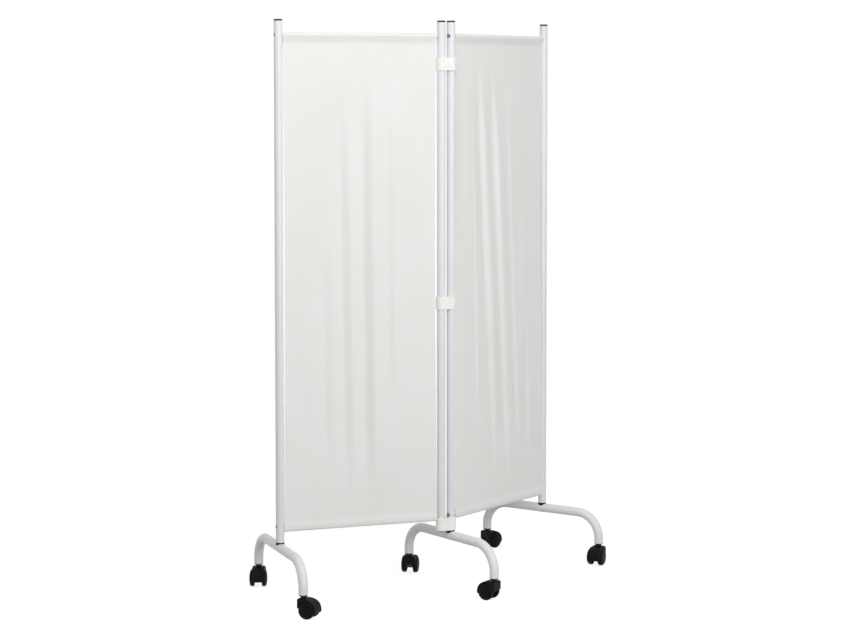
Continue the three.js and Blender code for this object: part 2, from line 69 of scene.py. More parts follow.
# Matrices that a surface's points, as rows, are multiplied by.
Z_TO_X = np.array([[0, 0, -1], [0, 1, 0], [1, 0, 0]])
Z_TO_Y = np.array([[1, 0, 0], [0, 0, -1], [0, 1, 0]])
UPSIDE_DOWN = np.diag([1, -1, -1])


# Surfaces


@dataclass
class Surface:
    """Points with quads between them. A quad may repeat a point, which makes it a triangle.

    Args:
        points: n by 3 array, in millimetres.
        quads: m by 4 array of indices into points.
        flat: n by 2 array, the place of each point on the cloth before it was hung.
    """

    points: Array
    quads: Array
    flat: Array | None = None

    def moved(self, x: float = 0.0, y: float = 0.0, z: float = 0.0) -> "Surface":
        """Returns the surface moved by x, y and z."""
        return Surface(self.points + [x, y, z], self.quads, self.flat)

    def turned(self, matrix: Array) -> "Surface":
        """Returns the surface with its points, as rows, times a matrix."""
        return Surface(self.points @ matrix, self.quads, self.flat)

    def turned_about_z(self, angle: float) -> "Surface":
        """Returns the surface turned about Z by angle, in radians."""
        cos, sin = math.cos(angle), math.sin(angle)
        return self.turned(np.array([[cos, sin, 0], [-sin, cos, 0], [0, 0, 1]]))

    def inside_out(self) -> "Surface":
        """Returns the surface with its faces looking the other way."""
        return Surface(self.points, self.quads[:, ::-1], self.flat)

    def outward(self) -> "Surface":
        """Returns the closed surface with its faces outwards.

        A closed shell's signed volume, the sum of each triangle's triple product, is positive
        when its faces look out.
        """
        a, b, c, d = (self.points[self.quads[:, i]] for i in range(4))
        volume = np.einsum("ij,ij->", a, np.cross(b, c)) + np.einsum("ij,ij->", a, np.cross(c, d))
        return self if volume >= 0 else self.inside_out()


def grid(points: Array, wrap_rows: bool = False, wrap_columns: bool = False) -> Surface:
    """Joins the neighbours of a grid of points by quads.

    Args:
        points: rows by columns by 3 array.
        wrap_rows: whether the last row joins the first.
        wrap_columns: whether the last column joins the first.

    Returns:
        The surface, which looks along column direction cross row direction.
    """
    rows, columns = points.shape[:2]
    index = np.arange(rows * columns).reshape(rows, columns)
    if wrap_rows:
        index = np.vstack([index, index[:1]])
    if wrap_columns:
        index = np.hstack([index, index[:, :1]])
    corners = [index[:-1, :-1], index[:-1, 1:], index[1:, 1:], index[1:, :-1]]
    return Surface(points.reshape(-1, 3), np.stack(corners, axis=-1).reshape(-1, 4))


def join(*parts: Surface) -> Surface:
    """Puts surfaces into one, one after the other.

    Args:
        *parts: surfaces without flat places.

    Returns:
        One surface of all their points and quads.
    """
    starts = np.cumsum([0] + [len(part.points) for part in parts])
    quads = [part.quads + start for part, start in zip(parts, starts)]
    return Surface(np.vstack([part.points for part in parts]), np.vstack(quads))


def angles(count: int) -> Array:
    """Returns count even angles of a full turn."""
    return np.linspace(0, FULL_TURN, count, endpoint=False)


def ring(radius: Array | float, turn: Array, height: Array | float) -> Array:
    """Returns the points at a radius and an angle round Z, and a height."""
    return np.stack(np.broadcast_arrays(radius * np.cos(turn), radius * np.sin(turn), height), -1)


def unit(vectors: Array) -> Array:
    """Returns vectors divided by their lengths."""
    return vectors / np.linalg.norm(vectors, axis=-1, keepdims=True)


def across_plan(line: Array) -> Array:
    """Returns the unit vectors to the right of directions in a plane."""
    return unit(np.stack([line[:, 1], -line[:, 0]], 1))


def walked(line: Array) -> Array:
    """Returns the distance along a line of points from its start to each."""
    return np.concatenate([[0.0], np.cumsum(np.linalg.norm(np.diff(line, axis=0), axis=1))])


def between(start: Array, end: Array, count: int = 5) -> Array:
    """Returns count even points on the way from start to end, without both."""
    return start + np.linspace(0, 1, count + 2)[1:-1, None] * (end - start)


def parabola(a: Array, b: Array, c: Array, steps: int) -> Array:
    """Returns the points (1-t)^2 a + 2t(1-t) b + t^2 c, with t from 0 to 1."""
    t = np.linspace(0, 1, steps + 1)[:, None]
    return (1 - t) ** 2 * a + 2 * t * (1 - t) * b + t**2 * c


def rounded(corners: list[Corner], steps: int = 4) -> Array:
    """Rounds the corners of an outline.

    Each corner is (x, y, reach): a parabola runs from a point that far before the corner to one
    that far after it. A reach of zero keeps the corner, as at both ends of an open outline.

    Args:
        corners: the outline's corners in order.
        steps: steps of each parabola.

    Returns:
        The outline's points as an n by 2 array.
    """
    xy = np.array([corner[:2] for corner in corners], float)
    out = []
    for i, (x, y, reach) in enumerate(corners):
        if reach <= 0:
            out.append([[x, y]])
            continue
        before, after = unit(xy[[i - 1, (i + 1) % len(xy)]] - xy[i]) * reach
        out.append(parabola(xy[i] + before, xy[i], xy[i] + after, steps))
    return np.vstack(out)


def lathe(corners: list[Corner], sides: int, steps: int = 4) -> Surface:
    """Turns a rounded profile about Z.

    A profile that starts and ends on the axis closes there, and any other closes on itself.

    Args:
        corners: (radius, height, reach) of the profile's corners, from the foot outwards and up.
        sides: steps round the axis.
        steps: steps of each rounded corner.

    Returns:
        The closed surface.
    """
    profile = rounded(corners, steps)
    on_axis = corners[0][0] == corners[-1][0] == 0
    points = ring(profile[:, :1], angles(sides), profile[:, 1:])
    return grid(points, wrap_rows=not on_axis, wrap_columns=True)


def smooth(share: Array) -> Array:
    """Eases 0 to 1 as 3t^2 - 2t^3."""
    t = np.clip(share, 0, 1)
    return t * t * (3 - 2 * t)


@dataclass(frozen=True)
class Place:
    """Where a sub-assembly stands: its origin in the row frame, in mm, and its heading."""

    x: float
    y: float
    heading: float

    @classmethod
    def facing(cls, origin: Array, run: Array) -> "Place":
        """Returns the place at origin whose X axis points along run."""
        return cls(origin[0], origin[1], math.atan2(run[1], run[0]))

    def put(self, surface: Surface) -> Surface:
        """Returns the surface in the row frame."""
        return surface.turned_about_z(self.heading).moved(self.x, self.y)


def node_box(node: str) -> Array:
    """Returns a CAD node's lowest and highest corner as two rows, in mm."""
    return np.array([list(corner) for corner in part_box(node)]) / MM


def node_middle(node: str) -> Array:
    """Returns the middle of a CAD node's box, in mm."""
    return node_box(node).mean(axis=0)


# Finishes


class Slot(Enum):
    """The record's material slots."""

    PAINTED_STEEL = "white_painted_steel"
    BLACK_PLASTIC = "black_plastic"
    WHEEL_PLASTIC = "wheel_plastic"
    CREAM_PLASTIC = "cream_plastic"
    CLOTH = "curtain_cloth"
    PLAIN_STEEL = "plain_steel"


def linear(hex_colour: str) -> tuple[float, float, float, float]:
    """Turns an sRGB hex value such as '#f0f1f4' to linear RGBA.

    A channel c is c/12.92 up to 0.04045, and ((c + 0.055)/1.055)^2.4 above.

    Args:
        hex_colour: a hash and six hexadecimal digits.

    Returns:
        Red, green, blue and an alpha of one.
    """
    channels = [int(hex_colour[i : i + 2], 16) / 255 for i in (1, 3, 5)]
    r, g, b = (c / 12.92 if c <= 0.04045 else ((c + 0.055) / 1.055) ** 2.4 for c in channels)
    return r, g, b, 1.0


class Recipe:
    """The nodes of one material, or of the world."""

    def __init__(self, owner: bpy.types.Material | bpy.types.World) -> None:
        """Starts without nodes.

        Args:
            owner: the material or world that the nodes belong to.
        """
        owner.use_nodes = True
        self.owner = owner
        self.tree = owner.node_tree
        self.tree.nodes.clear()

    def add(self, kind: str, feeds: dict | None = None, out: str | int = 0, stops: tuple = (),
            **settings: object) -> Socket | None:
        """Adds a node with its settings and links.

        Args:
            kind: the node's type name.
            feeds: for each input, by name or number, a value or the socket that feeds it.
            out: which output to return.
            stops: (place, colour) pairs of a colour ramp.
            **settings: the node's own properties.

        Returns:
            The wanted output, or None where the node has none.
        """
        node = self.tree.nodes.new(kind)
        for name, value in settings.items():
            setattr(node, name, value)
        for element, (place, colour) in zip(node.color_ramp.elements if stops else (), stops):
            element.position, element.color = place, linear(colour)
        for key, value in (feeds or {}).items():
            if isinstance(value, Socket):
                self.tree.links.new(value, node.inputs[key])
            else:
                node.inputs[key].default_value = value
        return node.outputs[out] if node.outputs else None


def noise_feeds(vector: Socket, size_mm: float, detail: float = 2.0) -> dict:
    """Returns the inputs of a noise whose blotches are about size_mm across."""
    return {"Vector": vector, "Scale": 1 / (size_mm * MM), "Detail": detail, "Roughness": 0.55}


def span_feeds(value: Socket, low: float, high: float) -> dict:
    """Returns the inputs that map 0.3 to 0.7, where noise mostly lies, to low to high."""
    return {"Value": value, "From Min": 0.3, "From Max": 0.7, "To Min": low, "To Max": high}


@dataclass(frozen=True)
class Grained:
    """A coat, a moulding, a metal or a thread: a fine grain that lifts the surface, over slow
    blotches that shift its colour and gloss.
    """

    name: str
    slot: Slot
    colour: str
    worn: str  # the colour of the blotches
    roughness: float
    specular: float = 0.5
    grain_mm: float = 0.7
    grain_height_mm: float = 0.02
    blotch_mm: float = 22.0
    metallic: float = 0.0

    @cache
    def make(self) -> bpy.types.Material:
        """Builds the material at the first call.

        Returns:
            The material, the same one each time.
        """
        recipe = Recipe(bpy.data.materials.new(self.name))
        place = recipe.add("ShaderNodeTexCoord", out="Object")
        grain = recipe.add("ShaderNodeTexNoise", noise_feeds(place, self.grain_mm))
        blotch = recipe.add("ShaderNodeTexNoise", noise_feeds(place, self.blotch_mm, 4.0))
        stops = ((0.4, self.colour), (0.75, self.worn))
        gloss = span_feeds(blotch, self.roughness - 0.05, self.roughness + 0.07)
        height = {"Height": grain, "Distance": self.grain_height_mm * MM}
        surface = recipe.add("ShaderNodeBsdfPrincipled", {
            "Base Color": recipe.add("ShaderNodeValToRGB", {"Fac": blotch}, stops=stops),
            "Metallic": self.metallic,
            "Roughness": recipe.add("ShaderNodeMapRange", gloss),
            "Specular IOR Level": self.specular,
            "Normal": recipe.add("ShaderNodeBump", height),
        })
        recipe.add("ShaderNodeOutputMaterial", {"Surface": surface})
        return recipe.owner


@dataclass(frozen=True)
class WovenCloth:
    """Plain-woven polyester sheeting.

    The eye sees crossed threads with faint slubs, with painted shade a little darker between them,
    and a soft sheen. The weave follows the cloth through its UV map, which holds the flat place in
    metres. The thread pitch is drawn coarser than the real 0.3 mm, which would never show.
    """

    name: str
    slot: Slot
    colour: str
    low: str  # the colour of the slow clouds
    thread_mm: float = 0.9
    thread_height_mm: float = 0.05
    slub_mm: float = 1.6
    slub_squash: float = 0.04  # of the slubs' noise along their thread
    cloud_mm: float = 150.0
    roughness: float = 0.88
    painted_gap_shade: float = 0.9  # painted shade between two threads: the clouds' colour times this

    @cache
    def make(self) -> bpy.types.Material:
        """Builds the material at the first call.

        Returns:
            The material, the same one each time.
        """
        recipe = Recipe(bpy.data.materials.new(self.name))
        flat = recipe.add("ShaderNodeUVMap", uv_map="flat")
        # The bands of a wave texture repeat every pi / (10 * scale).
        wave = {"Vector": flat, "Scale": math.pi / (10 * self.thread_mm * MM)}
        squash = self.slub_squash
        threads = []
        for axis, scale in (("X", (1.0, squash, 1.0)), ("Y", (squash, 1.0, 1.0))):
            band = recipe.add("ShaderNodeTexWave", wave, out="Fac", bands_direction=axis)
            run = recipe.add("ShaderNodeMapping", {"Vector": flat, "Scale": scale})
            slub = recipe.add("ShaderNodeTexNoise", noise_feeds(run, self.slub_mm))
            weight = recipe.add("ShaderNodeMapRange", span_feeds(slub, 0.6, 1.0))
            threads.append(recipe.add("ShaderNodeMath", {0: band, 1: weight}, operation="MULTIPLY"))
        weave = recipe.add("ShaderNodeMath", dict(enumerate(threads)), operation="MAXIMUM")
        cloud = recipe.add("ShaderNodeTexNoise", noise_feeds(flat, self.cloud_mm, 4.0))
        stops = ((0.35, self.low), (0.65, self.colour))
        base = recipe.add("ShaderNodeValToRGB", {"Fac": cloud}, stops=stops)
        # Painted shade: between the threads the colour is mixed a little towards a darker copy of
        # the clouds' colour.
        gap = recipe.add("ShaderNodeMapRange", span_feeds(weave, 0.1, 0.0))
        painted_shade = (*(self.painted_gap_shade * channel for channel in linear(self.low)[:3]), 1.0)
        mix = {"Factor": gap, 6: base, 7: painted_shade}
        height = {"Height": weave, "Distance": self.thread_height_mm * MM, "Strength": 0.6}
        surface = recipe.add("ShaderNodeBsdfPrincipled", {
            "Base Color": recipe.add("ShaderNodeMix", mix, out=2, data_type="RGBA"),
            "Roughness": self.roughness,
            "Normal": recipe.add("ShaderNodeBump", height),
            "Sheen Weight": 0.1,
            "Sheen Roughness": 0.5,
            "Specular IOR Level": 0.25,
        })
        recipe.add("ShaderNodeOutputMaterial", {"Surface": surface})
        return recipe.owner


class Finish(Enum):
    """Every finish of the screen, each made at its first use."""

    # Polyester powder baked on steel tube: satin white with a faint ripple of orange peel.
    WHITE_TUBE = Grained("powder_coat_white", Slot.PAINTED_STEEL, "#e2e3e6", "#e5e6e9", 0.34,
                         grain_mm=2.2, grain_height_mm=0.012, blotch_mm=160.0)
    # Injection-moulded in spark-eroded moulds: a fine matt grain, rubbed paler in places.
    BLACK_CAP = Grained("polyethylene_black", Slot.BLACK_PLASTIC, "#0d0d0f", "#161618", 0.42, 0.2)
    BLACK_HOOD = Grained("nylon_hood_black", Slot.BLACK_PLASTIC, "#0b0b0c", "#141416", 0.5, 0.1,
                         0.9, 0.03)
    WHEEL = Grained("nylon_wheel_black", Slot.WHEEL_PLASTIC, "#0a0a0b", "#111113", 0.44, 0.08)
    CREAM_CLIP = Grained("abs_cream", Slot.CREAM_PLASTIC, "#f4f3ee", "#eeede6", 0.46, grain_mm=1.1)
    # Woven, bleached and pressed: close flat threads that take the light softly.
    CLOTH = WovenCloth("polyester_sheeting_off_white", Slot.CLOTH, "#ececea", "#eaeae7")
    # Two plies twisted into one: each stitch is soft and matt, with a fine ridge.
    THREAD = Grained("spun_polyester_thread_white", Slot.CLOTH, "#f4f3f0", "#eae9e4", 0.8, 0.2, 0.3)
    # Turned, then zinc plated: a grey metal with a slightly milky, uneven gloss.
    STEEL = Grained("zinc_plated_steel", Slot.PLAIN_STEEL, "#7e8185", "#8b8f93", 0.36,
                    grain_mm=0.5, grain_height_mm=0.01, blotch_mm=6.0, metallic=1.0)
    # Turned, then blackened in hot salts: a dark metal with a dull oily gloss.
    DARK_STEEL = Grained("black_oxide_steel", Slot.PLAIN_STEEL, "#2c2f31", "#35383b", 0.42,
                         grain_mm=0.5, grain_height_mm=0.01, blotch_mm=6.0, metallic=1.0)


# Making pieces


def build_mesh(name: str, surface: Surface, sharp: float) -> bpy.types.Mesh:
    """Makes a Blender mesh of a surface, with points that lie on one another merged.

    Args:
        name: the mesh's name.
        surface: in the row frame, in mm.
        sharp: edges that bend by more than this angle, in degrees, stay crisp.

    Returns:
        The mesh, in metres, smooth between its crisp edges.
    """
    key = np.round(surface.points / WELD).astype(np.int64)
    _, first, back = np.unique(key, axis=0, return_index=True, return_inverse=True)
    quads = back.reshape(-1)[surface.quads]
    keep = quads != np.roll(quads, 1, axis=1)
    totals = keep.sum(axis=1)
    whole = totals >= 3
    loops = quads[whole][keep[whole]]
    starts = np.concatenate([[0], np.cumsum(totals[whole])[:-1]])
    mesh = bpy.data.meshes.new(name)
    mesh.vertices.add(len(first))
    mesh.vertices.foreach_set("co", (surface.points[first] * MM).astype(np.float32).ravel())
    mesh.loops.add(len(loops))
    mesh.loops.foreach_set("vertex_index", loops.astype(np.int32))
    mesh.polygons.add(len(starts))
    mesh.polygons.foreach_set("loop_start", starts.astype(np.int32))
    mesh.update(calc_edges=True)
    mesh.validate()
    if surface.flat is not None:
        layer = mesh.uv_layers.new(name="flat")
        corners = np.zeros(len(mesh.loops), np.int32)
        mesh.loops.foreach_get("vertex_index", corners)
        place = surface.flat[first][corners] * MM
        layer.data.foreach_set("uv", place.astype(np.float32).ravel())
    mesh.polygons.foreach_set("use_smooth", np.ones(len(mesh.polygons), bool))
    mesh.set_sharp_from_angle(angle=math.radians(sharp))
    return mesh


def add_object(name: str, data: bpy.types.ID) -> bpy.types.Object:
    """Puts a new object into the scene.

    Args:
        name: the object's name.
        data: its mesh, camera or light.

    Returns:
        The object, at the origin.
    """
    added = bpy.data.objects.new(name, data)
    bpy.context.scene.collection.objects.link(added)
    return added


def publish(name: str, surface: Surface, place: Place, finish: Finish, body: str, *nodes: str,
            sharp: float = 32.0) -> bpy.types.Object:
    """Makes a piece of a surface, and hands it to its body.

    Args:
        name: the piece's name.
        surface: in the frame of its sub-assembly.
        place: where the sub-assembly stands.
        finish: what the piece is made of.
        body: the body that it rides on.
        *nodes: the CAD nodes that it stands for.
        sharp: edges that bend by more than this angle, in degrees, stay crisp.

    Returns:
        The piece.
    """
    piece = add_object(name, build_mesh(name, place.put(surface), sharp))
    piece.data.materials.append(finish.value.make())
    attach(piece, body)
    if nodes:
        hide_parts(*nodes)
    LOG.info("%s: %d faces, rides on %s", name, len(piece.data.polygons), body)
    return piece


# Tubes, caps and screws


@dataclass(frozen=True)
class Tube:
    """A round steel tube with its ends rounded by the coating."""

    radius: float
    wall: float
    sides: int = 48
    edge: float = 0.4

    def straight(self, low: float, high: float) -> Surface:
        """Returns the tube on the Z axis.

        Args:
            low: height of its lower end.
            high: height of its upper end.
        """
        bore = self.radius - self.wall
        ends = ((self.radius, low), (self.radius, high), (bore, high), (bore, low))
        return lathe([(*end, self.edge) for end in ends], self.sides, 3)


@dataclass(frozen=True)
class EndCap:
    """A post's plastic cap: a slightly domed head with a rounded rim, on a ribbed hollow plug."""

    radius: float = 12.5
    plug_radius: float = 10.6
    plug_length: float = 18.0
    plug_wall: float = 2.0
    seat: float = 0.3
    rim_edge: float = 1.3
    dome: float = 0.5

    def surface(self, head: float) -> Surface:
        """Returns the cap, with the tube's end at height zero.

        Args:
            head: height of the head above the tube's end.
        """
        inner = self.plug_radius - self.plug_wall
        edge = min(self.rim_edge, head / 2)
        return lathe([
            (0.0, -self.plug_wall, 0.0), (inner, -self.plug_wall, 0.6),
            (inner, -self.plug_length, 0.4), (self.plug_radius, -self.plug_length, 0.6),
            (self.plug_radius, self.seat, 0.0), (self.radius, self.seat, 0.2),
            (self.radius, head - self.dome, edge), (self.radius * 0.6, head, 2.0),
            (0.0, head, 0.0),
        ], 48)


@dataclass(frozen=True)
class SunkScrew:
    """A countersunk screw with a hexagon socket, in a cup washer, nearly flush with its tube."""

    head_radius: float = 4.4
    socket_width: float = 4.4
    socket_depth: float = 2.6
    depth: float = 3.2
    washer_radius: float = 5.7
    washer_depth: float = 2.4
    proud: float = 0.35

    def head(self) -> Surface:
        """Returns the head, its flat face at zero and looking along +Z.

        The socket's radius at an angle a is half its width over cos(a) within 30 degrees of a
        flat's middle.
        """
        turn = angles(48)
        flat = math.pi / 3
        hexagon = self.socket_width / 2 / np.cos(np.mod(turn + flat / 2, flat) - flat / 2)
        rim = self.head_radius
        rings = [
            (0.0, -self.socket_depth), (hexagon * 0.98, -self.socket_depth), (hexagon, -0.1),
            (hexagon + 0.15, 0.0), (rim - 0.2, 0.0), (rim, -0.2), (rim * 0.5, -self.depth),
            (0.0, -self.depth),
        ]
        rows = np.stack([ring(radius, turn, height) for radius, height in rings])
        return grid(rows, wrap_columns=True).outward().moved(z=self.proud)

    def washer(self) -> Surface:
        """Returns the cup washer, a rounded ring."""
        inner, outer = self.head_radius - 0.3, self.washer_radius
        foot, top = -self.washer_depth, self.proud - 0.1
        corners = [(inner, foot, 0.2), (outer, foot, 0.2), (outer, top - 0.1, 0.5)]
        return lathe([*corners, (inner, top, 0.2)], 48).outward()


# Curtains


@dataclass(frozen=True)
class Fold:
    """A soft upright fold.

    Its crease leans from one share of the cloth's width at the top to another at the foot. The
    cloth steps back there by twice the depth within one spread on each side, from left to right,
    or forward where the depth is negative, and comes back slowly beyond.
    """

    top: float
    foot: float
    depth: float
    spread: float
    low: float = 0.12  # shares of the height between which the fold runs
    high: float = 0.88


@dataclass(frozen=True)
class Drape:
    """How a curtain hangs between its near and its far post."""

    gaps: tuple[float, float]  # from the posts' axes to the cloth's corners
    draws: tuple[float, float]  # by which its sides are drawn in half way up
    foot_tilt: float  # share by which the bottom pocket hangs lower at the far end
    seed: int
    tail: float  # spreads within which the cloth comes half back from a fold
    folds: tuple[Fold, ...]


LEFT_DRAPE = Drape((13.2, 16.5), (4.6, 5.0), 0.0, 11, 3.4, (
    Fold(0.180, 0.195, -1.4, 16.0, 0.06, 0.40),
    Fold(0.285, 0.300, -4.0, 15.0, 0.08, 0.62),
    Fold(0.386, 0.430, -7.6, 16.5, 0.06, 0.88),
    Fold(0.542, 0.562, -10.0, 17.5, 0.06, 0.92),
    Fold(0.628, 0.640, -1.6, 9.0, 0.3, 0.9),
    Fold(0.698, 0.704, -4.6, 12.5, 0.22, 0.9),
))
RIGHT_DRAPE = Drape((16.5, 13.2), (5.0, 4.6), 0.4, 23, 2.5, (
    Fold(0.189, 0.259, -1.2, 10.0, 0.15, 0.85),
    Fold(0.268, 0.463, -3.0, 14.0, 0.04, 0.95),
    Fold(0.268, 0.463, -2.2, 14.0, 0.40, 0.88),
    Fold(0.335, 0.530, 0.7, 6.0, 0.10, 0.85),
    Fold(0.410, 0.612, -3.6, 14.0, 0.04, 0.93),
    Fold(0.410, 0.612, -1.6, 14.0, 0.35, 0.86),
    Fold(0.492, 0.694, 0.9, 6.0, 0.10, 0.80),
    Fold(0.573, 0.737, -1.5, 11.0, 0.08, 0.88),
    Fold(0.800, 0.840, -1.4, 12.0, 0.05, 0.40),
))


@dataclass(frozen=True)
class Stitch:
    """A lockstitch of sewing thread: short capsules that dive into the cloth at their ends.

    The thread is drawn about twice its real 0.3 mm, so that a seam shows.
    """

    pitch: float = 3.6
    length: float = 2.7
    radius: float = 0.26
    lift: float = 0.1
    dive: float = 0.24
    sides: int = 6

    def row(self, line: Array, normal: Array) -> Surface:
        """Sets one capsule after another along a line on the cloth.

        In its own frame a capsule's centre line is z = lift - dive u^2, with u from -1 to 1 along
        it, and its radius is r (1 - u^4).

        Args:
            line: n by 3 array of points on the cloth.
            normal: the unit vector out of the cloth at each.

        Returns:
            All the capsules.
        """
        along = walked(line)
        spots = np.arange(self.pitch / 2, along[-1] - self.pitch / 2, self.pitch)
        columns = np.hstack([line, normal, np.gradient(line, axis=0)])
        values = np.stack([np.interp(spots, along, column) for column in columns.T], 1)
        middle, out, ahead = values[:, :3], values[:, 3:6], unit(values[:, 6:])
        u = np.array([-1.0, -0.75, 0.0, 0.75, 1.0])[:, None]
        turn = angles(self.sides)[None, :]
        radius = self.radius * (1 - u**4)
        x = np.broadcast_to(u * self.length / 2, (len(u), self.sides))
        z = radius * np.sin(turn) + self.lift - self.dive * u**2
        own = grid(np.stack([x, radius * np.cos(turn), z], -1), wrap_columns=True)
        frames = np.stack([ahead, np.cross(out, ahead), out], 1)
        points = np.einsum("pi,nij->npj", own.points, frames) + middle[:, None, :]
        steps = np.arange(len(spots))[:, None, None] * len(own.points)
        return Surface(points.reshape(-1, 3), (own.quads[None] + steps).reshape(-1, 4))


@dataclass(frozen=True)
class Curtain:
    """One strip of cloth, sewn round the top and bottom rails and hemmed down its sides.

    In the panel's frame X runs from the near post to the far one and -Y is the front.
    """

    width: float
    top_rail: float
    bottom_rail: float
    drape: Drape
    loop_radius: float = 6.95  # of the cloth's middle round the rail
    pocket: float = 22.0
    foot_pocket: float = 13.5  # from the bottom rail up to its pocket's stitches
    foot_lean: float = 5.5  # of the cloth towards the front, where it passes before the bottom rail
    foot_drop: float = 16.3  # of the loose bottom pocket below the rail's middle
    low_point: float = 0.22  # share of the width round which the bottom pocket tilts
    post_reach: float = 40.0  # within which the pockets' round ends die out
    allowance: float = 5.0
    thickness: float = 0.7
    hem: float = 9.0
    hem_margin: float = 1.5
    hem_step: float = 0.35
    hem_columns: int = 8
    columns: int = 170
    body_rows: int = 190
    pocket_rows: int = 46  # of the strip before the panel begins
    fade: float = 0.22  # share of the height within which a fold begins or ends
    fade_lead: float = 0.06  # share of the height by which that starts outside the fold
    swell: float = 0.22  # depth of the slow swell
    pucker: float = 0.07  # depth of the puckers along the pockets
    pucker_reach: float = 20.0  # from the stitches, over which they die out
    wrinkle: float = 0.75  # depth of the wrinkles at the top corners
    wrinkle_pitch: float = 12.0
    wrinkle_reach: float = 13.0

    def strip(self) -> tuple[Array, Array]:
        """Works out the strip's path, seen from the side.

        It starts at the back of the top pocket, under its stitches, climbs the back, goes round
        the rail, down the front and the panel, which hangs a little forward at its foot, and
        round the bottom rail in a loose half oval up to the stitches at its back.

        Returns:
            The path's (depth, height) points and their distances along the cloth.
        """
        stitch, foot_stitch = self.stitches()
        back = self.thickness * 0.55
        spare = np.array([[0.0, -self.allowance], [0.0, -self.allowance / 2], [0.0, 0.0]])
        lead = spare + [back, stitch]
        tip = math.acos(self.loop_radius / self.pocket)
        turn = np.linspace(tip - math.pi / 2, 1.5 * math.pi - tip, 33)
        loop = ring(self.loop_radius, turn, 0.0)[:, :2] + [0.0, self.top_rail]
        even = np.linspace(0, 1, self.body_rows)
        share = 0.35 * (1 - np.cos(math.pi * even)) / 2 + 0.65 * even
        heights = stitch + (foot_stitch - stitch) * share
        body = np.stack([-self.foot_lean * smooth(share), heights], 1)
        turn = np.linspace(0, math.pi, 33)
        foot_loop = np.stack([
            -self.loop_radius * np.sign(np.cos(turn)) * np.abs(np.cos(turn)) ** (2 / 3),
            self.bottom_rail - self.foot_drop * np.sin(turn) ** (2 / 3),
        ], 1)
        end = np.array([back - self.foot_lean, foot_stitch])
        path = np.vstack([
            lead, between(lead[-1], loop[0]), loop, between(loop[-1], body[0]), body,
            between(body[-1], foot_loop[0]), foot_loop, between(foot_loop[-1], end),
            (spare * [1, -1] + end)[::-1],
        ])
        return path, walked(path)

    def stitches(self) -> tuple[float, float]:
        """Returns the heights of the top and the bottom pocket's stitches."""
        return self.top_rail - self.pocket, self.bottom_rail + self.foot_pocket

    def across(self) -> Array:
        """Returns the columns' places across the cloth, closer together at the side hems."""
        rim = self.hem + self.hem_margin
        edge = np.linspace(0, rim, self.hem_columns)
        inner = np.linspace(rim, self.width - rim, self.columns - 2 * self.hem_columns + 2)[1:-1]
        return np.concatenate([edge, inner, self.width - edge[::-1]])

    def relief(self, x: Array, z: Array) -> Array:
        """Works out how far the cloth stands back from its plane.

        Each fold adds depth * s(t) / (1 + (t / tail)^2), with t the distance from its crease in
        spreads and s(t) = t (3 - t^2) / 2 between -1 and 1, eased in and out over its height. A
        slow swell goes on top, with puckers along the pockets that die out away from the rails
        and short slanting wrinkles at the top corners.

        Args:
            x: places across the cloth.
            z: heights.

        Returns:
            The depth at each place.
        """
        high, low = self.stitches()
        height = np.clip((z - low) / (high - low), 0, 1)
        out = np.zeros_like(x)
        for fold in self.drape.folds:
            centre = self.width * (fold.foot + (fold.top - fold.foot) * height)
            t = (x - centre) / fold.spread
            begin = smooth((height - fold.low + self.fade_lead) / self.fade)
            end = smooth((fold.high + self.fade_lead - height) / self.fade)
            step = np.clip(t, -1, 1)
            slope = step * (3 - step * step) / 2 / (1 + (t / self.drape.tail) ** 2)
            out += fold.depth * slope * begin * end
        rng = np.random.default_rng(self.drape.seed)
        inside = smooth(height / 0.25) * smooth((1 - height) / 0.25)
        spans = ((70, 190), (0, FULL_TURN), (-0.12, 0.12))
        for _ in range(7):
            wave, phase, lean = (rng.uniform(*span) for span in spans)
            out += self.swell * np.sin(FULL_TURN * (x + lean * (z - low)) / wave + phase) * inside
        spans = ((14, 45), (0, FULL_TURN), (-0.5, 0.5))
        for rise in (z - low, high - z):
            away = np.clip(rise, 0, None)
            decay = np.exp(-away / self.pucker_reach) * smooth(away / 9.0)
            for _ in range(9):
                wave, phase, lean = (rng.uniform(*span) for span in spans)
                out += self.pucker * np.sin(FULL_TURN * (x + lean * rise) / wave + phase) * decay
        drop = np.clip(high - z, 0, None)
        for inward, fall in ((x, 0.8), (self.width - x, 0.6)):
            distance = (inward - 14) ** 2 + (drop - 16) ** 2
            reach = np.exp(-distance / (2 * self.wrinkle_reach**2)) * smooth(drop / 7.0)
            turn = FULL_TURN * (fall * inward + 0.75 * drop) / self.wrinkle_pitch
            out += self.wrinkle * np.sin(turn) * reach
        return out

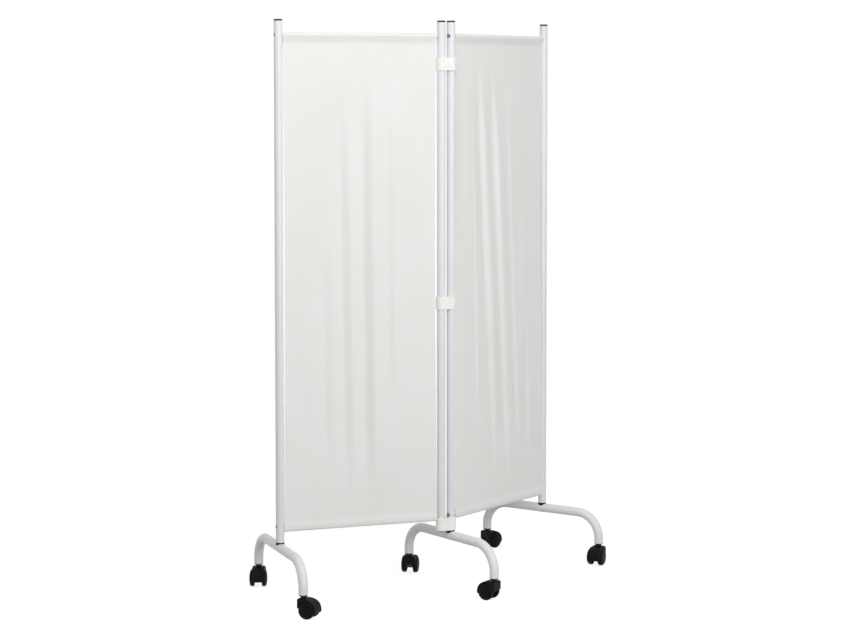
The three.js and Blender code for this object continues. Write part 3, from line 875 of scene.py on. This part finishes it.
    def skins(self) -> tuple[Array, Array, Array, Array]:
        """Works out the cloth's outer and inner skin, half its thickness off its middle.

        The ends of the pockets keep an even distance from the axes of the posts, so at depth y
        they come R - sqrt(R^2 - y^2) closer, which dies out across the cloth. Below its rail the
        bottom pocket hangs lower towards the far post by the foot tilt.

        Returns:
            The outer skin, the inner skin, the outward unit normals, all rows by columns by 3,
            and the flat places, rows by columns by 2.
        """
        path, along = self.strip()
        depth = path[:, :1]
        xs, zs = np.meshgrid(self.across(), path[:, 1])
        high, low = self.stitches()
        (start, end), (near, far) = self.drape.gaps, self.drape.draws
        draw = np.sin(math.pi * np.clip((zs - low) / (high - low), 0, 1) ** 1.25)
        share = xs / self.width
        placed = start + xs + draw * (near * (1 - share) - far * share)
        for gap, inward, sign in ((start, xs, -1), (end, self.width - xs, 1)):
            round_post = gap - np.sqrt(gap**2 - depth**2)
            placed += sign * round_post * np.exp(-inward / self.post_reach)
        below = np.clip(self.bottom_rail - zs, 0, None)
        zs = zs - below * self.drape.foot_tilt * (share - self.low_point)
        body = np.zeros_like(depth)
        body[self.pocket_rows : self.pocket_rows + self.body_rows] = 1.0
        middle = np.stack([placed, depth + body * self.relief(xs, zs), zs], -1)
        normal = unit(np.cross(np.gradient(middle, axis=0), np.gradient(middle, axis=1)))
        from_edge = np.minimum(xs, self.width - xs)
        half = self.thickness / 2 + self.hem_step * (1 - smooth(from_edge - self.hem)) / 2
        flat = np.stack([xs, np.broadcast_to(along[:, None], xs.shape)], -1)
        off = normal * half[..., None]
        return middle + off, middle - off, normal, flat

    def surface(self) -> Surface:
        """Returns the closed cloth, both skins and the edges between them, with its flat places."""
        outer, inner, _, flat = self.skins()
        sheets = join(grid(outer), grid(inner).inside_out())
        count = len(sheets.points) // 2
        index = np.arange(count).reshape(outer.shape[:2])
        rim = np.concatenate([index[0], index[1:, -1], index[-1, -2::-1], index[-2:0:-1, 0]])
        ahead = np.roll(rim, -1)
        edge = np.stack([ahead, rim, rim + count, ahead + count], 1)
        flat = np.tile(flat.reshape(-1, 2), (2, 1))
        return Surface(sheets.points, np.vstack([sheets.quads, edge]), flat).outward()

    def seams(self, stitch: Stitch) -> Surface:
        """Returns the stitches: a row across each pocket, before and behind, and both side hems.

        Args:
            stitch: the stitch that every row repeats.
        """
        outer, inner, normal, _ = self.skins()
        first = self.pocket_rows
        last = first + self.body_rows - 1
        pockets = (2, first, last, len(outer) - 3)
        rows = [stitch.row(outer[i, 2:-2], normal[i, 2:-2]) for i in pockets]
        x = self.across()
        body = slice(first + 3, last - 3)
        for place in (self.hem - 1.6, self.width - self.hem + 1.6):
            at = np.interp(place, x, np.arange(len(x)))
            left, part = int(at), at - int(at)
            for skin, sign in ((outer, 1.0), (inner, -1.0)):
                line = skin[body, left] * (1 - part) + skin[body, left + 1] * part
                rows.append(stitch.row(line, sign * normal[body, left]))
        return join(*rows)

    def cut(self) -> tuple[float, float]:
        """Returns the flat cloth's width and length, in metres."""
        return self.width * MM, float(self.strip()[1][-1]) * MM


# Panels


@dataclass
class Panel:
    """Two posts, two rails and a curtain. In its frame X runs from the near to the far post."""

    side: str
    near: str
    far: str
    drape: Drape
    post: Tube = Tube(12.5, 1.5, 56)
    rail: Tube = Tube(6.0, 1.2, 32, 0.3)
    rail_gap: float = 0.3  # between the rail's end and the post
    cap: EndCap = EndCap()
    screw: SunkScrew = SunkScrew()

    def __post_init__(self) -> None:
        """Reads the panel's place and heights from its CAD nodes."""
        near = node_middle(f"{self.near}_post")
        run = node_middle(f"{self.far}_post") - near
        self.body = f"{self.side}_panel"
        self.place = Place.facing(near, run)
        self.spacing = math.hypot(*run[:2])
        self.foot, self.head = node_box(f"{self.near}_post")[:, 2]
        self.top = node_box(f"{self.near}_cap")[1, 2]
        rails = (f"{self.side}_top_rail", f"{self.side}_bottom_rail")
        self.rails = {rail: node_middle(rail)[2] for rail in rails}

    def build(self) -> None:
        """Makes the posts with their caps, the rails with their screws, and the curtain."""
        place, body = self.place, self.body
        for name, x in ((self.near, 0.0), (self.far, self.spacing)):
            tube = self.post.straight(self.foot, self.head).moved(x)
            publish(f"{name}_post_tube", tube, place, Finish.WHITE_TUBE, body, f"{name}_post")
            cap = self.cap.surface(self.top - self.head).moved(x, z=self.head)
            publish(f"{name}_cap_head", cap, place, Finish.BLACK_CAP, body, f"{name}_cap")
        start = self.post.radius + self.rail_gap
        bar = self.rail.straight(0, self.spacing - 2 * start).turned(Z_TO_X)
        for name, height in self.rails.items():
            tube = bar.moved(start, 0, height)
            publish(f"{name}_tube", tube, place, Finish.WHITE_TUBE, body, name)
        self.build_screws()
        self.build_curtain()

    def build_screws(self) -> None:
        """Makes the rail screws, whose heads lie on the far side of each post from its rail.

        Each is bent round its post: X loses R - sqrt(R^2 - y^2).
        """
        radius = self.post.radius
        for label, part in (("screws", self.screw.head()), ("washers", self.screw.washer())):
            bent = part.turned(Z_TO_X)
            bent.points[:, 0] -= radius - np.sqrt(radius**2 - bent.points[:, 1] ** 2)
            ends = bent.moved(self.spacing + radius), bent.turned_about_z(math.pi).moved(-radius)
            spots = [end.moved(z=height) for height in self.rails.values() for end in ends]
            name = f"{self.side}_rail_{label}"
            publish(name, join(*spots), self.place, Finish.DARK_STEEL, self.body, sharp=40)

    def build_curtain(self) -> None:
        top, bottom = self.rails.values()
        curtain = Curtain(self.spacing - sum(self.drape.gaps), top, bottom, self.drape)
        place, body, node = self.place, self.body, f"{self.side}_curtain"
        strip, seams = curtain.surface(), curtain.seams(Stitch())
        cloth = publish(f"{node}_cloth", strip, place, Finish.CLOTH, body, node, sharp=60)
        stitches = publish(f"{node}_stitches", seams, place, Finish.THREAD, body, sharp=80)
        curtain.cut()

    def build_bottom_cap(self) -> None:
        """Closes the far post from below, where it stands on no foot."""
        node = f"{self.far}_bottom_cap"
        foot = node_box(f"{self.far}_post")[0, 2]
        cap = self.cap.surface(foot - node_box(node)[0, 2]).turned(UPSIDE_DOWN)
        cap = cap.moved(self.spacing, z=foot)
        publish(f"{node}_head", cap, self.place, Finish.BLACK_CAP, self.body, node)


# Clips


@dataclass
class Clips:
    """The double clips whose sleeves turn on the two inner posts."""

    bore: float = 12.8
    sleeve: float = 15.8
    waist: float = 29.0
    seam: float = 0.5  # of the raised line where the mould's halves met
    edge: float = 1.2
    rib_pitch: float = 3.4
    rib_depth: float = 0.16
    rib_margin: float = 3.0  # from the clip's ends to its first rib

    def outline(self, pitch: float) -> Array:
        """Returns the left half's plan, from the middle in front, round the sleeve, back to it.

        Args:
            pitch: distance between the posts' axes.
        """
        waist = self.waist / 2
        lean = math.asin(waist / self.sleeve)
        turn = np.linspace(lean, FULL_TURN - lean, 61)
        x = pitch / 2 - np.array([0.0, 0.5, 0.9, 1.3, 5.0])
        upper = np.stack([x, waist + self.seam * np.array([1.0, 1.0, 0.3, 0.0, 0.0])], 1)
        return np.vstack([upper, ring(self.sleeve, turn, 0.0)[:, :2], upper[::-1] * [1, -1]])

    def clip(self, pitch: float, height: float) -> Surface:
        """Works out a clip: a wall round both sleeves, two bores, and end faces cut at the middle.

        The wall steps in along its plan's normal, by a rounded edge at both ends and fine ribs
        between them.

        Args:
            pitch: distance between the posts' axes.
            height: of the clip.

        Returns:
            The closed clip, with its foot at height zero.
        """
        left = self.outline(pitch)
        plan = np.vstack([left, [pitch, 0.0] - left[1:-1]])
        normal = across_plan(np.roll(plan, -1, axis=0) - np.roll(plan, 1, axis=0))
        rounding = np.linspace(0, self.edge, 6)
        ribs = np.linspace(self.edge, height - self.edge, 73)
        levels = np.unique(np.concatenate([rounding, ribs, height - rounding]).round(6))
        out = plan - normal * self.inset(levels, height)[:, None, None]
        heights = np.broadcast_to(levels[:, None, None], out.shape[:2] + (1,))
        out = np.concatenate([out, heights], -1)
        parts = [grid(out, wrap_columns=True)]
        halves = (np.arange(len(left)), 0.0), (np.r_[len(left) - 1 : len(plan), 0], pitch)
        for half, centre in halves:
            bores = []
            for rim in (out[0, half], out[-1, half]):
                rim = np.vstack([rim, between(rim[-1], rim[0], 7)])
                hole = self.bore * unit(rim[:, :2] - [centre, 0.0]) + [centre, 0.0]
                bores.append(np.hstack([hole, rim[:, 2:]]))
                parts.append(grid(np.stack([bores[-1], rim]), wrap_columns=True))
            parts[-1] = parts[-1].inside_out()
            parts.append(grid(np.stack(bores[::-1]), wrap_columns=True))
        return join(*parts)

    def inset(self, level: Array, height: float) -> Array:
        """Works out how far the wall steps in.

        The edge is a quarter circle, and the ribs follow 1 - sqrt(|sin|).

        Args:
            level: heights on the clip.
            height: of the clip.

        Returns:
            The step inwards at each level.
        """
        to_end = np.minimum(level, height - level)
        edge = self.edge * (1 - np.sqrt(1 - np.clip(1 - to_end / self.edge, 0, 1) ** 2))
        ribbed = smooth((to_end - self.rib_margin) / 0.8)
        wave = np.abs(np.sin(math.pi * (level - height / 2) / self.rib_pitch))
        return edge + (1 - wave**0.5) * self.rib_depth * ribbed

    def build(self) -> None:
        """Makes the three clips."""
        left = node_middle("left_inner_post")
        run = node_middle("right_inner_post") - left
        place = Place.facing(left, run)
        for name in ("top_clip", "middle_clip", "bottom_clip"):
            low, high = node_box(name)[:, 2]
            clip = self.clip(math.hypot(*run[:2]), high - low).moved(z=low)
            finish = Finish.CREAM_CLIP
            publish(f"{name}_moulding", clip, place, finish, "hinge_clips", name, sharp=38)


# Feet


@dataclass
class Foot:
    """A bent-tube foot, its saddle under the post and the bolt that holds them together."""

    name: str
    body: str
    post: str
    radius: float = 14.0
    wall: float = 1.5
    bend: float = 75.0
    sides: int = 48
    bend_rows: int = 22
    collar_radius: float = 12.5
    collar_edge: float = 0.3
    lip_drop: float = 8.5
    plug_radius: float = 10.6
    plug_length: float = 18.0
    plug_edge: float = 0.8
    seat: float = 0.3
    bolt: SunkScrew = SunkScrew()

    def __post_init__(self) -> None:
        """Reads the foot's place, span and heights from its CAD nodes."""
        front, rear = (node_middle(f"{self.name}_{end}_stem") for end in ("front", "rear"))
        self.place = Place.facing(node_middle(self.post), front - rear)
        self.half = math.hypot(*(front - rear)[:2]) / 2
        self.low, crown = node_box(f"{self.name}_foot_arch")[:, 2]
        self.axis = crown - self.radius
        self.post_foot = node_box(self.post)[0, 2]

    def path(self) -> Array:
        """Returns the centre line: up one leg, round a bend, along the crown, round and down."""
        centre, spring = self.half - self.bend, self.axis - self.bend
        turn = np.linspace(0, math.pi / 2, self.bend_rows)
        bend = np.stack([centre + self.bend * np.sin(turn), spring + self.bend * np.cos(turn)], 1)
        crown = np.linspace([0, self.axis], [centre, self.axis], 7)[:-1]
        leg = np.linspace([self.half, spring], [self.half, self.low], 4)[1:]
        half = np.insert(np.vstack([crown, bend, leg]), 1, 0.0, axis=1)
        return np.vstack([half[:0:-1] * [-1, 1, 1], half])

    def arch(self) -> Surface:
        """Returns the tube: an outer and an inner skin joined by rounded rims.

        A circle is carried along the path. Its spokes are cos(a) side + sin(a) up, with side
        across the plane of the foot.
        """
        path, turn = self.path(), angles(self.sides)[:, None]
        side = np.array([0.0, 1.0, 0.0])
        up = np.cross(unit(np.gradient(path, axis=0)), side)[:, None]
        spokes = np.cos(turn) * side + np.sin(turn) * up
        radii = (self.radius, self.radius - self.wall)
        outer, inner = (path[:, None] + radius * spokes for radius in radii)
        middle = (outer + inner) / 2
        rows = np.concatenate([outer, middle[-1:], inner[::-1], middle[:1]])
        return grid(rows, wrap_rows=True, wrap_columns=True).outward()

    def saddle(self) -> Surface:
        """Returns the saddle: a collar whose lips ride the crown, on a plug inside the post.

        Round the collar its lower edge follows the foot's tube: at a distance d from the tube's
        plane the tube's top is at axis + sqrt(R^2 - d^2), and it never reaches below the lips'
        ends.
        """
        turn = angles(96)
        collar, plug, edge = self.collar_radius, self.plug_radius, self.plug_edge
        rim = collar - self.collar_edge
        radii = np.array([0.0, 3.0, 6.0, 9.0, 11.5, rim, collar])[:, None]
        off = radii * np.sin(turn)
        under = self.axis + np.sqrt(np.clip((self.radius + self.seat) ** 2 - off**2, 0, None))
        under = np.maximum(under, self.post_foot - self.lip_drop)
        under[-1] += self.collar_edge
        top, tip = self.post_foot - self.seat, self.post_foot + self.plug_length
        tops = [
            (collar, top - self.collar_edge), (rim, top), (plug, top), (plug, tip - edge),
            (plug - edge, tip), (0.0, tip),
        ]
        upper = np.stack([ring(radius, turn, height) for radius, height in tops])
        return grid(np.concatenate([ring(radii, turn, under), upper]), wrap_columns=True).outward()

    def build(self) -> None:
        """Makes the foot's pieces."""
        name, place, body = self.name, self.place, self.body
        arch, saddle = f"{name}_foot_arch", f"{name}_saddle"
        publish(f"{name}_foot_tube", self.arch(), place, Finish.WHITE_TUBE, body, arch)
        publish(f"{saddle}_collar", self.saddle(), place, Finish.BLACK_CAP, body, saddle)
        bolt = self.bolt.head().turned(UPSIDE_DOWN).moved(z=self.axis - self.radius)
        publish(f"{name}_foot_bolt", bolt, place, Finish.STEEL, body, sharp=40)


# Castors


@dataclass
class Castor:
    """A hooded twin-wheel castor, its socket in the leg and its stem.

    In the castor's frame the stem stands on Z and the wheels trail towards +X.
    """

    name: str
    foot_body: str
    leg_end: float
    wheel_radius: float = 25.0
    wheel_width: float = 16.2
    hub_depth: float = 0.72  # share of the wheel's width that the axle's bore reaches
    axle_radius: float = 3.0
    web: float = 22.0
    clearance: float = 1.5
    hood_wall: float = 3.0
    hood_width: float = 43.0
    hood_edge: float = 2.0  # how far the hood draws in over the last edge_reach before its rim
    edge_reach: float = 4.0
    front_drop: float = 27.0
    brow: float = 3.0  # reach of the rounding between the front and the top
    flat_end: float = 8.0  # where the flat top runs into the round back
    join_angle: float = 60.0  # above the axle, where the round back begins
    end_angle: float = -15.0  # below the axle, where it ends
    shoulder: float = 44.0  # height from which the hood's sides close in
    shoulder_rise: float = 18.0
    shoulder_bend: float = 5.0
    shoulder_reach: float = 5.5
    side_columns: int = 15
    web_columns: int = 9
    flange_radius: float = 13.0
    plug_radius: float = 12.2
    plug_length: float = 18.0
    stem_radius: float = 5.5
    stem_depth: float = 17.0  # of the stem in the housing
    stem_length: float = 22.0  # of the stem in the leg
    groove_radius: float = 4.6
    collar: float = 4.0
    seat: float = 0.3

    def __post_init__(self) -> None:
        """Reads the castor's place and trail from its joints and its heights from its nodes."""
        joints = {joint["name"]: joint for joint in frame["joints"]}
        roll = joints[f"{self.name}_roll_a"]
        stem = np.array(joints[f"{self.name}_swivel"]["pos_m"]) / MM
        axle = np.array(roll["pos_m"]) / MM
        self.place = Place.facing(stem, (roll["axis"][1], -roll["axis"][0]))
        self.trail = math.hypot(*(axle - stem)[:2])
        self.axle = float(axle[2])
        self.floor_gap, self.top = node_box(f"{self.name}_housing")[:, 2]

    def bush(self) -> Surface:
        """Returns the socket: a tapered flange under the leg's end and a plug inside it."""
        foot, seat = self.top + self.collar + self.seat, self.leg_end - self.seat
        tip, flange, plug = self.leg_end + self.plug_length, self.flange_radius, self.plug_radius
        bore = self.stem_radius + self.seat
        return lathe([
            (bore, foot, 0.3), (10.0, foot, 0.8), (flange, seat - 2.9, 0.9), (flange, seat, 0.3),
            (plug, seat, 0.0), (plug, tip, 0.6), (bore, tip, 0.3),
        ], 48)

    def stem(self) -> Surface:
        """Returns the stem with its collar, grip groove and pointed tip."""
        foot, collar = self.top - self.stem_depth + self.seat, self.top + self.seat
        flange, tip = self.top + self.collar, self.leg_end + self.stem_length
        pin, groove = self.stem_radius, self.groove_radius
        return lathe([
            (0.0, foot, 0.0), (pin, foot, 0.4), (pin, collar, 0.0), (8.0, collar, 0.4),
            (8.0, flange, 0.5), (pin, flange, 0.0), (pin, tip - 8.0, 0.0), (groove, tip - 8.0, 0.0),
            (groove, tip - 5.0, 0.0), (pin, tip - 5.0, 0.3), (groove, tip, 0.6), (0.0, tip, 0.0),
        ], 40)

    def axle_pin(self) -> Surface:
        """Returns the axle across the web and into both wheels."""
        pin, bore_end = self.axle_radius, self.wheel_width * self.hub_depth
        half = self.web / 2 + self.seat + bore_end - 1.0
        corners = [(0.0, -half, 0.0), (pin, -half, 0.5), (pin, half, 0.5), (0.0, half, 0.0)]
        return lathe(corners, 32).turned(Z_TO_Y).moved(self.trail, 0, self.axle)

    def wheel(self, side: int) -> Surface:
        """Returns a wheel: dished round its hub inside, domed with a raised disc outside.

        Args:
            side: 1 for the wheel on +Y, -1 for its mirror image.
        """
        r, w, bore = self.wheel_radius, self.wheel_width, self.axle_radius + 0.35
        well, hub = r - 2.5, w * self.hub_depth
        solid = lathe([
            (bore, 0.0, 0.3), (8.0, 0.0, 0.4), (8.0, 5.5, 0.8), (well, 5.5, 0.8), (well, 0.3, 0.5),
            (r, 1.55, 0.9), (r, w * 0.56, 1.6), (r * 0.9, w * 0.78, 1.2), (r * 0.86, w * 0.82, 0.5),
            (r * 0.84, w * 0.80, 0.3), (r * 0.79, w * 0.83, 0.6), (r * 0.5, w * 0.955, 4.0),
            (0.0, w, 0.0), (0.0, hub, 0.0), (bore, hub, 0.3),
        ], 72, 5)
        placed = solid.turned(Z_TO_Y).moved(y=self.web / 2 + self.seat)
        return placed.turned(np.diag([1, side, 1])).outward().moved(self.trail, 0, self.axle)

    def outline(self) -> Array:
        """Returns the hood's side view: flat front, flat top, round back and straight web foot."""
        radius, top, brow = self.wheel_radius + self.clearance + self.hood_wall, self.top, self.brow
        front = self.trail - radius
        arc = np.radians(np.linspace(self.join_angle, self.end_angle, 25))
        back = [self.trail, self.axle] + radius * np.stack([np.cos(arc), np.sin(arc)], 1)
        control_x = back[0, 0] - (top - back[0, 1]) * math.tan(arc[0])
        shoulder = parabola(np.array([self.flat_end, top]), np.array([control_x, top]), back[0], 12)
        rise = np.linspace([front, top - self.front_drop], [front, top - brow], 9)[:-1]
        corners = [(front, top - brow, 0.0), (front, top, brow), (self.flat_end, top, 0.0)]
        nose = rounded(corners, 7)
        flat_top = np.linspace(nose[-2], nose[-1], 6)[1:]
        return np.vstack([rise, nose[1:-1], flat_top, shoulder[1:], back[1:]])

    def housing(self) -> Surface:
        """Returns the hood and its web as one closed skin.

        Each point of the side view gives a ring: over the hood from rim to rim, in along the
        wheel well, down the web's side, across under it, and back. At a distance d from its rim
        the hood draws in by e(1 - sqrt(1 - (1 - d/b)^2)). It stays under the shoulder line,
        44 + 18t - 5t^2 with t = sqrt((half - |y|)/5.5), which also moves the rim in where the well
        rises above it.
        """
        outer = self.outline()
        axle = np.array([self.trail, self.axle])
        well = axle + unit(outer - axle) * (self.wheel_radius + self.clearance)
        inward = across_plan(np.gradient(outer, axis=0))
        sole = rounded([
            (*outer[0], 0.0), (self.trail - 8.0, self.floor_gap, 3.0),
            (self.trail + 16.0, self.floor_gap, 4.0), (*outer[-1], 0.0),
        ], 6)
        share, path = walked(outer), walked(sole)
        share = share / share[-1] * path[-1]
        under = np.stack([np.interp(share, path, sole[:, i]) for i in (0, 1)], 1)

        over = np.clip(well[:, 1] + 0.8 - self.shoulder, 0, None)
        rise, bend, reach = self.shoulder_rise, self.shoulder_bend, self.shoulder_reach
        t = (rise - np.sqrt(rise**2 - 4 * bend * over)) / (2 * bend)
        half, web = self.hood_width / 2, self.web / 2
        rim = (half - reach * t * t)[:, None]
        sides, middle = self.side_columns, np.linspace(-web, web, self.web_columns)
        right = web + (rim - web) * np.sin(np.linspace(0, math.pi / 2, sides))
        middle = np.broadcast_to(middle, (len(outer), self.web_columns))
        y = np.hstack([-right[:, ::-1], middle, right])
        gap = np.clip(1 - (rim - abs(y)) / self.edge_reach, 0, 1)
        inset = self.hood_edge * (1 - np.sqrt(1 - gap**2))
        skin = outer[:, None, :] + inward[:, None, :] * inset[..., None]
        close = np.sqrt(np.clip((half - abs(y)) / reach, 0, 1))
        roof = self.shoulder + rise * close - bend * close**2
        upper = np.stack([skin[..., 0], y, np.minimum(skin[..., 1], roof)], -1)
        low = np.broadcast_to(well[:, None, :], y.shape + (2,)).copy()
        low[:, sides : sides + self.web_columns] = under[:, None, :]
        lower = np.stack([low[..., 0], y, low[..., 1]], -1)
        wall = grid(np.concatenate([upper, lower[:, ::-1]], axis=1), wrap_columns=True)
        front, rear = (grid(np.stack([upper[i], lower[i]])) for i in (0, -1))
        return join(wall, front.inside_out(), rear).outward()

    def build(self) -> None:
        """Makes the castor's pieces."""
        name, own = self.name, f"{self.name}_castor"
        for part, node, surface, finish, body in (
            ("socket", "bush", self.bush(), Finish.BLACK_CAP, self.foot_body),
            ("stem_pin", "stem", self.stem(), Finish.DARK_STEEL, self.foot_body),
            ("axle_pin", "axle", self.axle_pin(), Finish.STEEL, own),
            ("wheel_a_disc", "wheel_a", self.wheel(1), Finish.WHEEL, f"{name}_wheel_a"),
            ("wheel_b_disc", "wheel_b", self.wheel(-1), Finish.WHEEL, f"{name}_wheel_b"),
            ("hood", "housing", self.housing(), Finish.BLACK_HOOD, own),
        ):
            publish(f"{name}_{part}", surface, self.place, finish, body, f"{name}_{node}")


# Studio


@dataclass(frozen=True)
class Lamp:
    """A rectangular soft light, turned to a target. Places and sizes are in metres."""

    name: str
    place: tuple[float, float, float]
    target: tuple[float, float, float]
    size: tuple[float, float]
    watts: float

    def build(self) -> None:
        """Makes the lamp."""
        data = bpy.data.lights.new(self.name, "AREA")
        data.shape = "RECTANGLE"
        data.size, data.size_y = self.size
        data.energy = self.watts
        lamp = add_object(self.name, data)
        lamp.location = self.place
        x, y, z = np.array(self.place) - np.array(self.target)
        lamp.rotation_euler = (math.atan2(math.hypot(x, y), z), 0.0, math.atan2(y, x) + math.pi / 2)


@dataclass(frozen=True)
class Studio:
    """The camera at the photograph's angle, plain soft light and a pale floor."""

    camera: tuple[float, float, float] = (-1.9430, -5.8423, 1.5278)
    forward: tuple[float, float] = (0.31136, 0.95029)
    pitch: float = 3.336  # degrees down
    lens: float = 85.27
    shift: float = -0.1412  # of the picture's width, because its middle lies below the lens axis
    lamps: tuple[Lamp, ...] = (
        Lamp("front", (0.4, -3.4, 1.5), (0.0, 0.0, 0.9), (1.4, 1.8), 36.0),
        Lamp("right", (2.7, -2.0, 1.8), (0.0, 0.0, 0.9), (1.4, 1.8), 6.5),
        Lamp("top", (-0.7, -1.7, 2.8), (-0.3, -0.1, 1.3), (1.2, 1.0), 16.7),
    )
    ambient: float = 0.56
    floor_size: float = 60.0
    floor_glow: float = 0.86
    floor_colour: str = "#b4b4b4"
    glow_base: str = "#8c8c8c"

    def aim_camera(self) -> None:
        """Makes the camera."""
        data = bpy.data.cameras.new("camera")
        data.sensor_width, data.lens, data.shift_y = 36.0, self.lens, self.shift
        data.clip_end = 200.0
        camera = add_object("camera", data)
        camera.location = self.camera
        turn = math.atan2(self.forward[1], self.forward[0]) - math.pi / 2
        camera.rotation_euler = (math.pi / 2 - math.radians(self.pitch), 0.0, turn)
        bpy.context.scene.camera = camera

    def floor_finish(self) -> bpy.types.Material:
        """Builds the floor's finish: matt white paper, which the camera sees close to white.

        For the rays that see the background its own light adds up with the lamps' to just over
        white, so that only the shadow falls under it. Every other ray meets plain paper.

        Returns:
            The floor's material.
        """
        recipe = Recipe(bpy.data.materials.new("matt_white_paper"))
        paper = recipe.add("ShaderNodeBsdfPrincipled", {
            "Base Color": linear(self.floor_colour), "Roughness": 0.9, "Specular IOR Level": 0.1,
        })
        dim = recipe.add("ShaderNodeBsdfDiffuse", {"Color": linear(self.glow_base)})
        white = linear("#ffffff")
        glow = recipe.add("ShaderNodeEmission", {"Color": white, "Strength": self.floor_glow})
        lifted = recipe.add("ShaderNodeAddShader", {0: dim, 1: glow})
        mix = {0: self.looking(recipe), 1: paper, 2: lifted}
        surface = recipe.add("ShaderNodeMixShader", mix)
        recipe.add("ShaderNodeOutputMaterial", {"Surface": surface})
        return recipe.owner

    def looking(self, recipe: Recipe) -> Socket:
        """Returns 1 for the rays that see the background: camera, glossy and transmission rays.

        Args:
            recipe: the nodes to add to.
        """
        seen = recipe.add("ShaderNodeLightPath", out="Is Camera Ray")
        rays = seen.node.outputs
        for ray in ("Is Glossy Ray", "Is Transmission Ray"):
            seen = recipe.add("ShaderNodeMath", {0: seen, 1: rays[ray]}, operation="MAXIMUM")
        return seen

    def build(self) -> None:
        """Makes the camera, the lights, the world and the floor."""
        self.aim_camera()
        for lamp in self.lamps:
            lamp.build()
        recipe = Recipe(bpy.data.worlds.new("studio"))
        bpy.context.scene.world = recipe.owner
        white = linear("#ffffff")
        seen = recipe.add("ShaderNodeBackground", {"Color": white})
        soft = recipe.add("ShaderNodeBackground", {"Color": white, "Strength": self.ambient})
        mix = {0: self.looking(recipe), 1: soft, 2: seen}
        recipe.add("ShaderNodeOutputWorld", {"Surface": recipe.add("ShaderNodeMixShader", mix)})
        edge = np.array([-0.5, 0.5]) * self.floor_size / MM
        x, y = np.meshgrid(edge, edge)
        floor = add_object("floor", build_mesh("floor", grid(np.stack([x, y, 0 * x], -1)), 30))
        floor.data.materials.append(self.floor_finish())
        bpy.context.scene.view_settings.view_transform = "Standard"


def main() -> None:
    """Builds the studio and every sub-assembly."""
    logging.basicConfig(level=logging.INFO, format="%(message)s")
    Studio().build()
    left = Panel("left", "left_outer", "left_inner", LEFT_DRAPE)
    left.build()
    Panel("right", "right_inner", "right_outer", RIGHT_DRAPE).build()
    left.build_bottom_cap()
    Clips().build()
    for name, body, post in (
        ("left", "left_panel", "left_outer_post"),
        ("middle", "right_panel", "right_inner_post"),
        ("right", "right_panel", "right_outer_post"),
    ):
        foot = Foot(name, body, post)
        foot.build()
        for end in ("front", "rear"):
            Castor(f"{name}_{end}", body, foot.low).build()


if __name__ == "__main__":
    main()
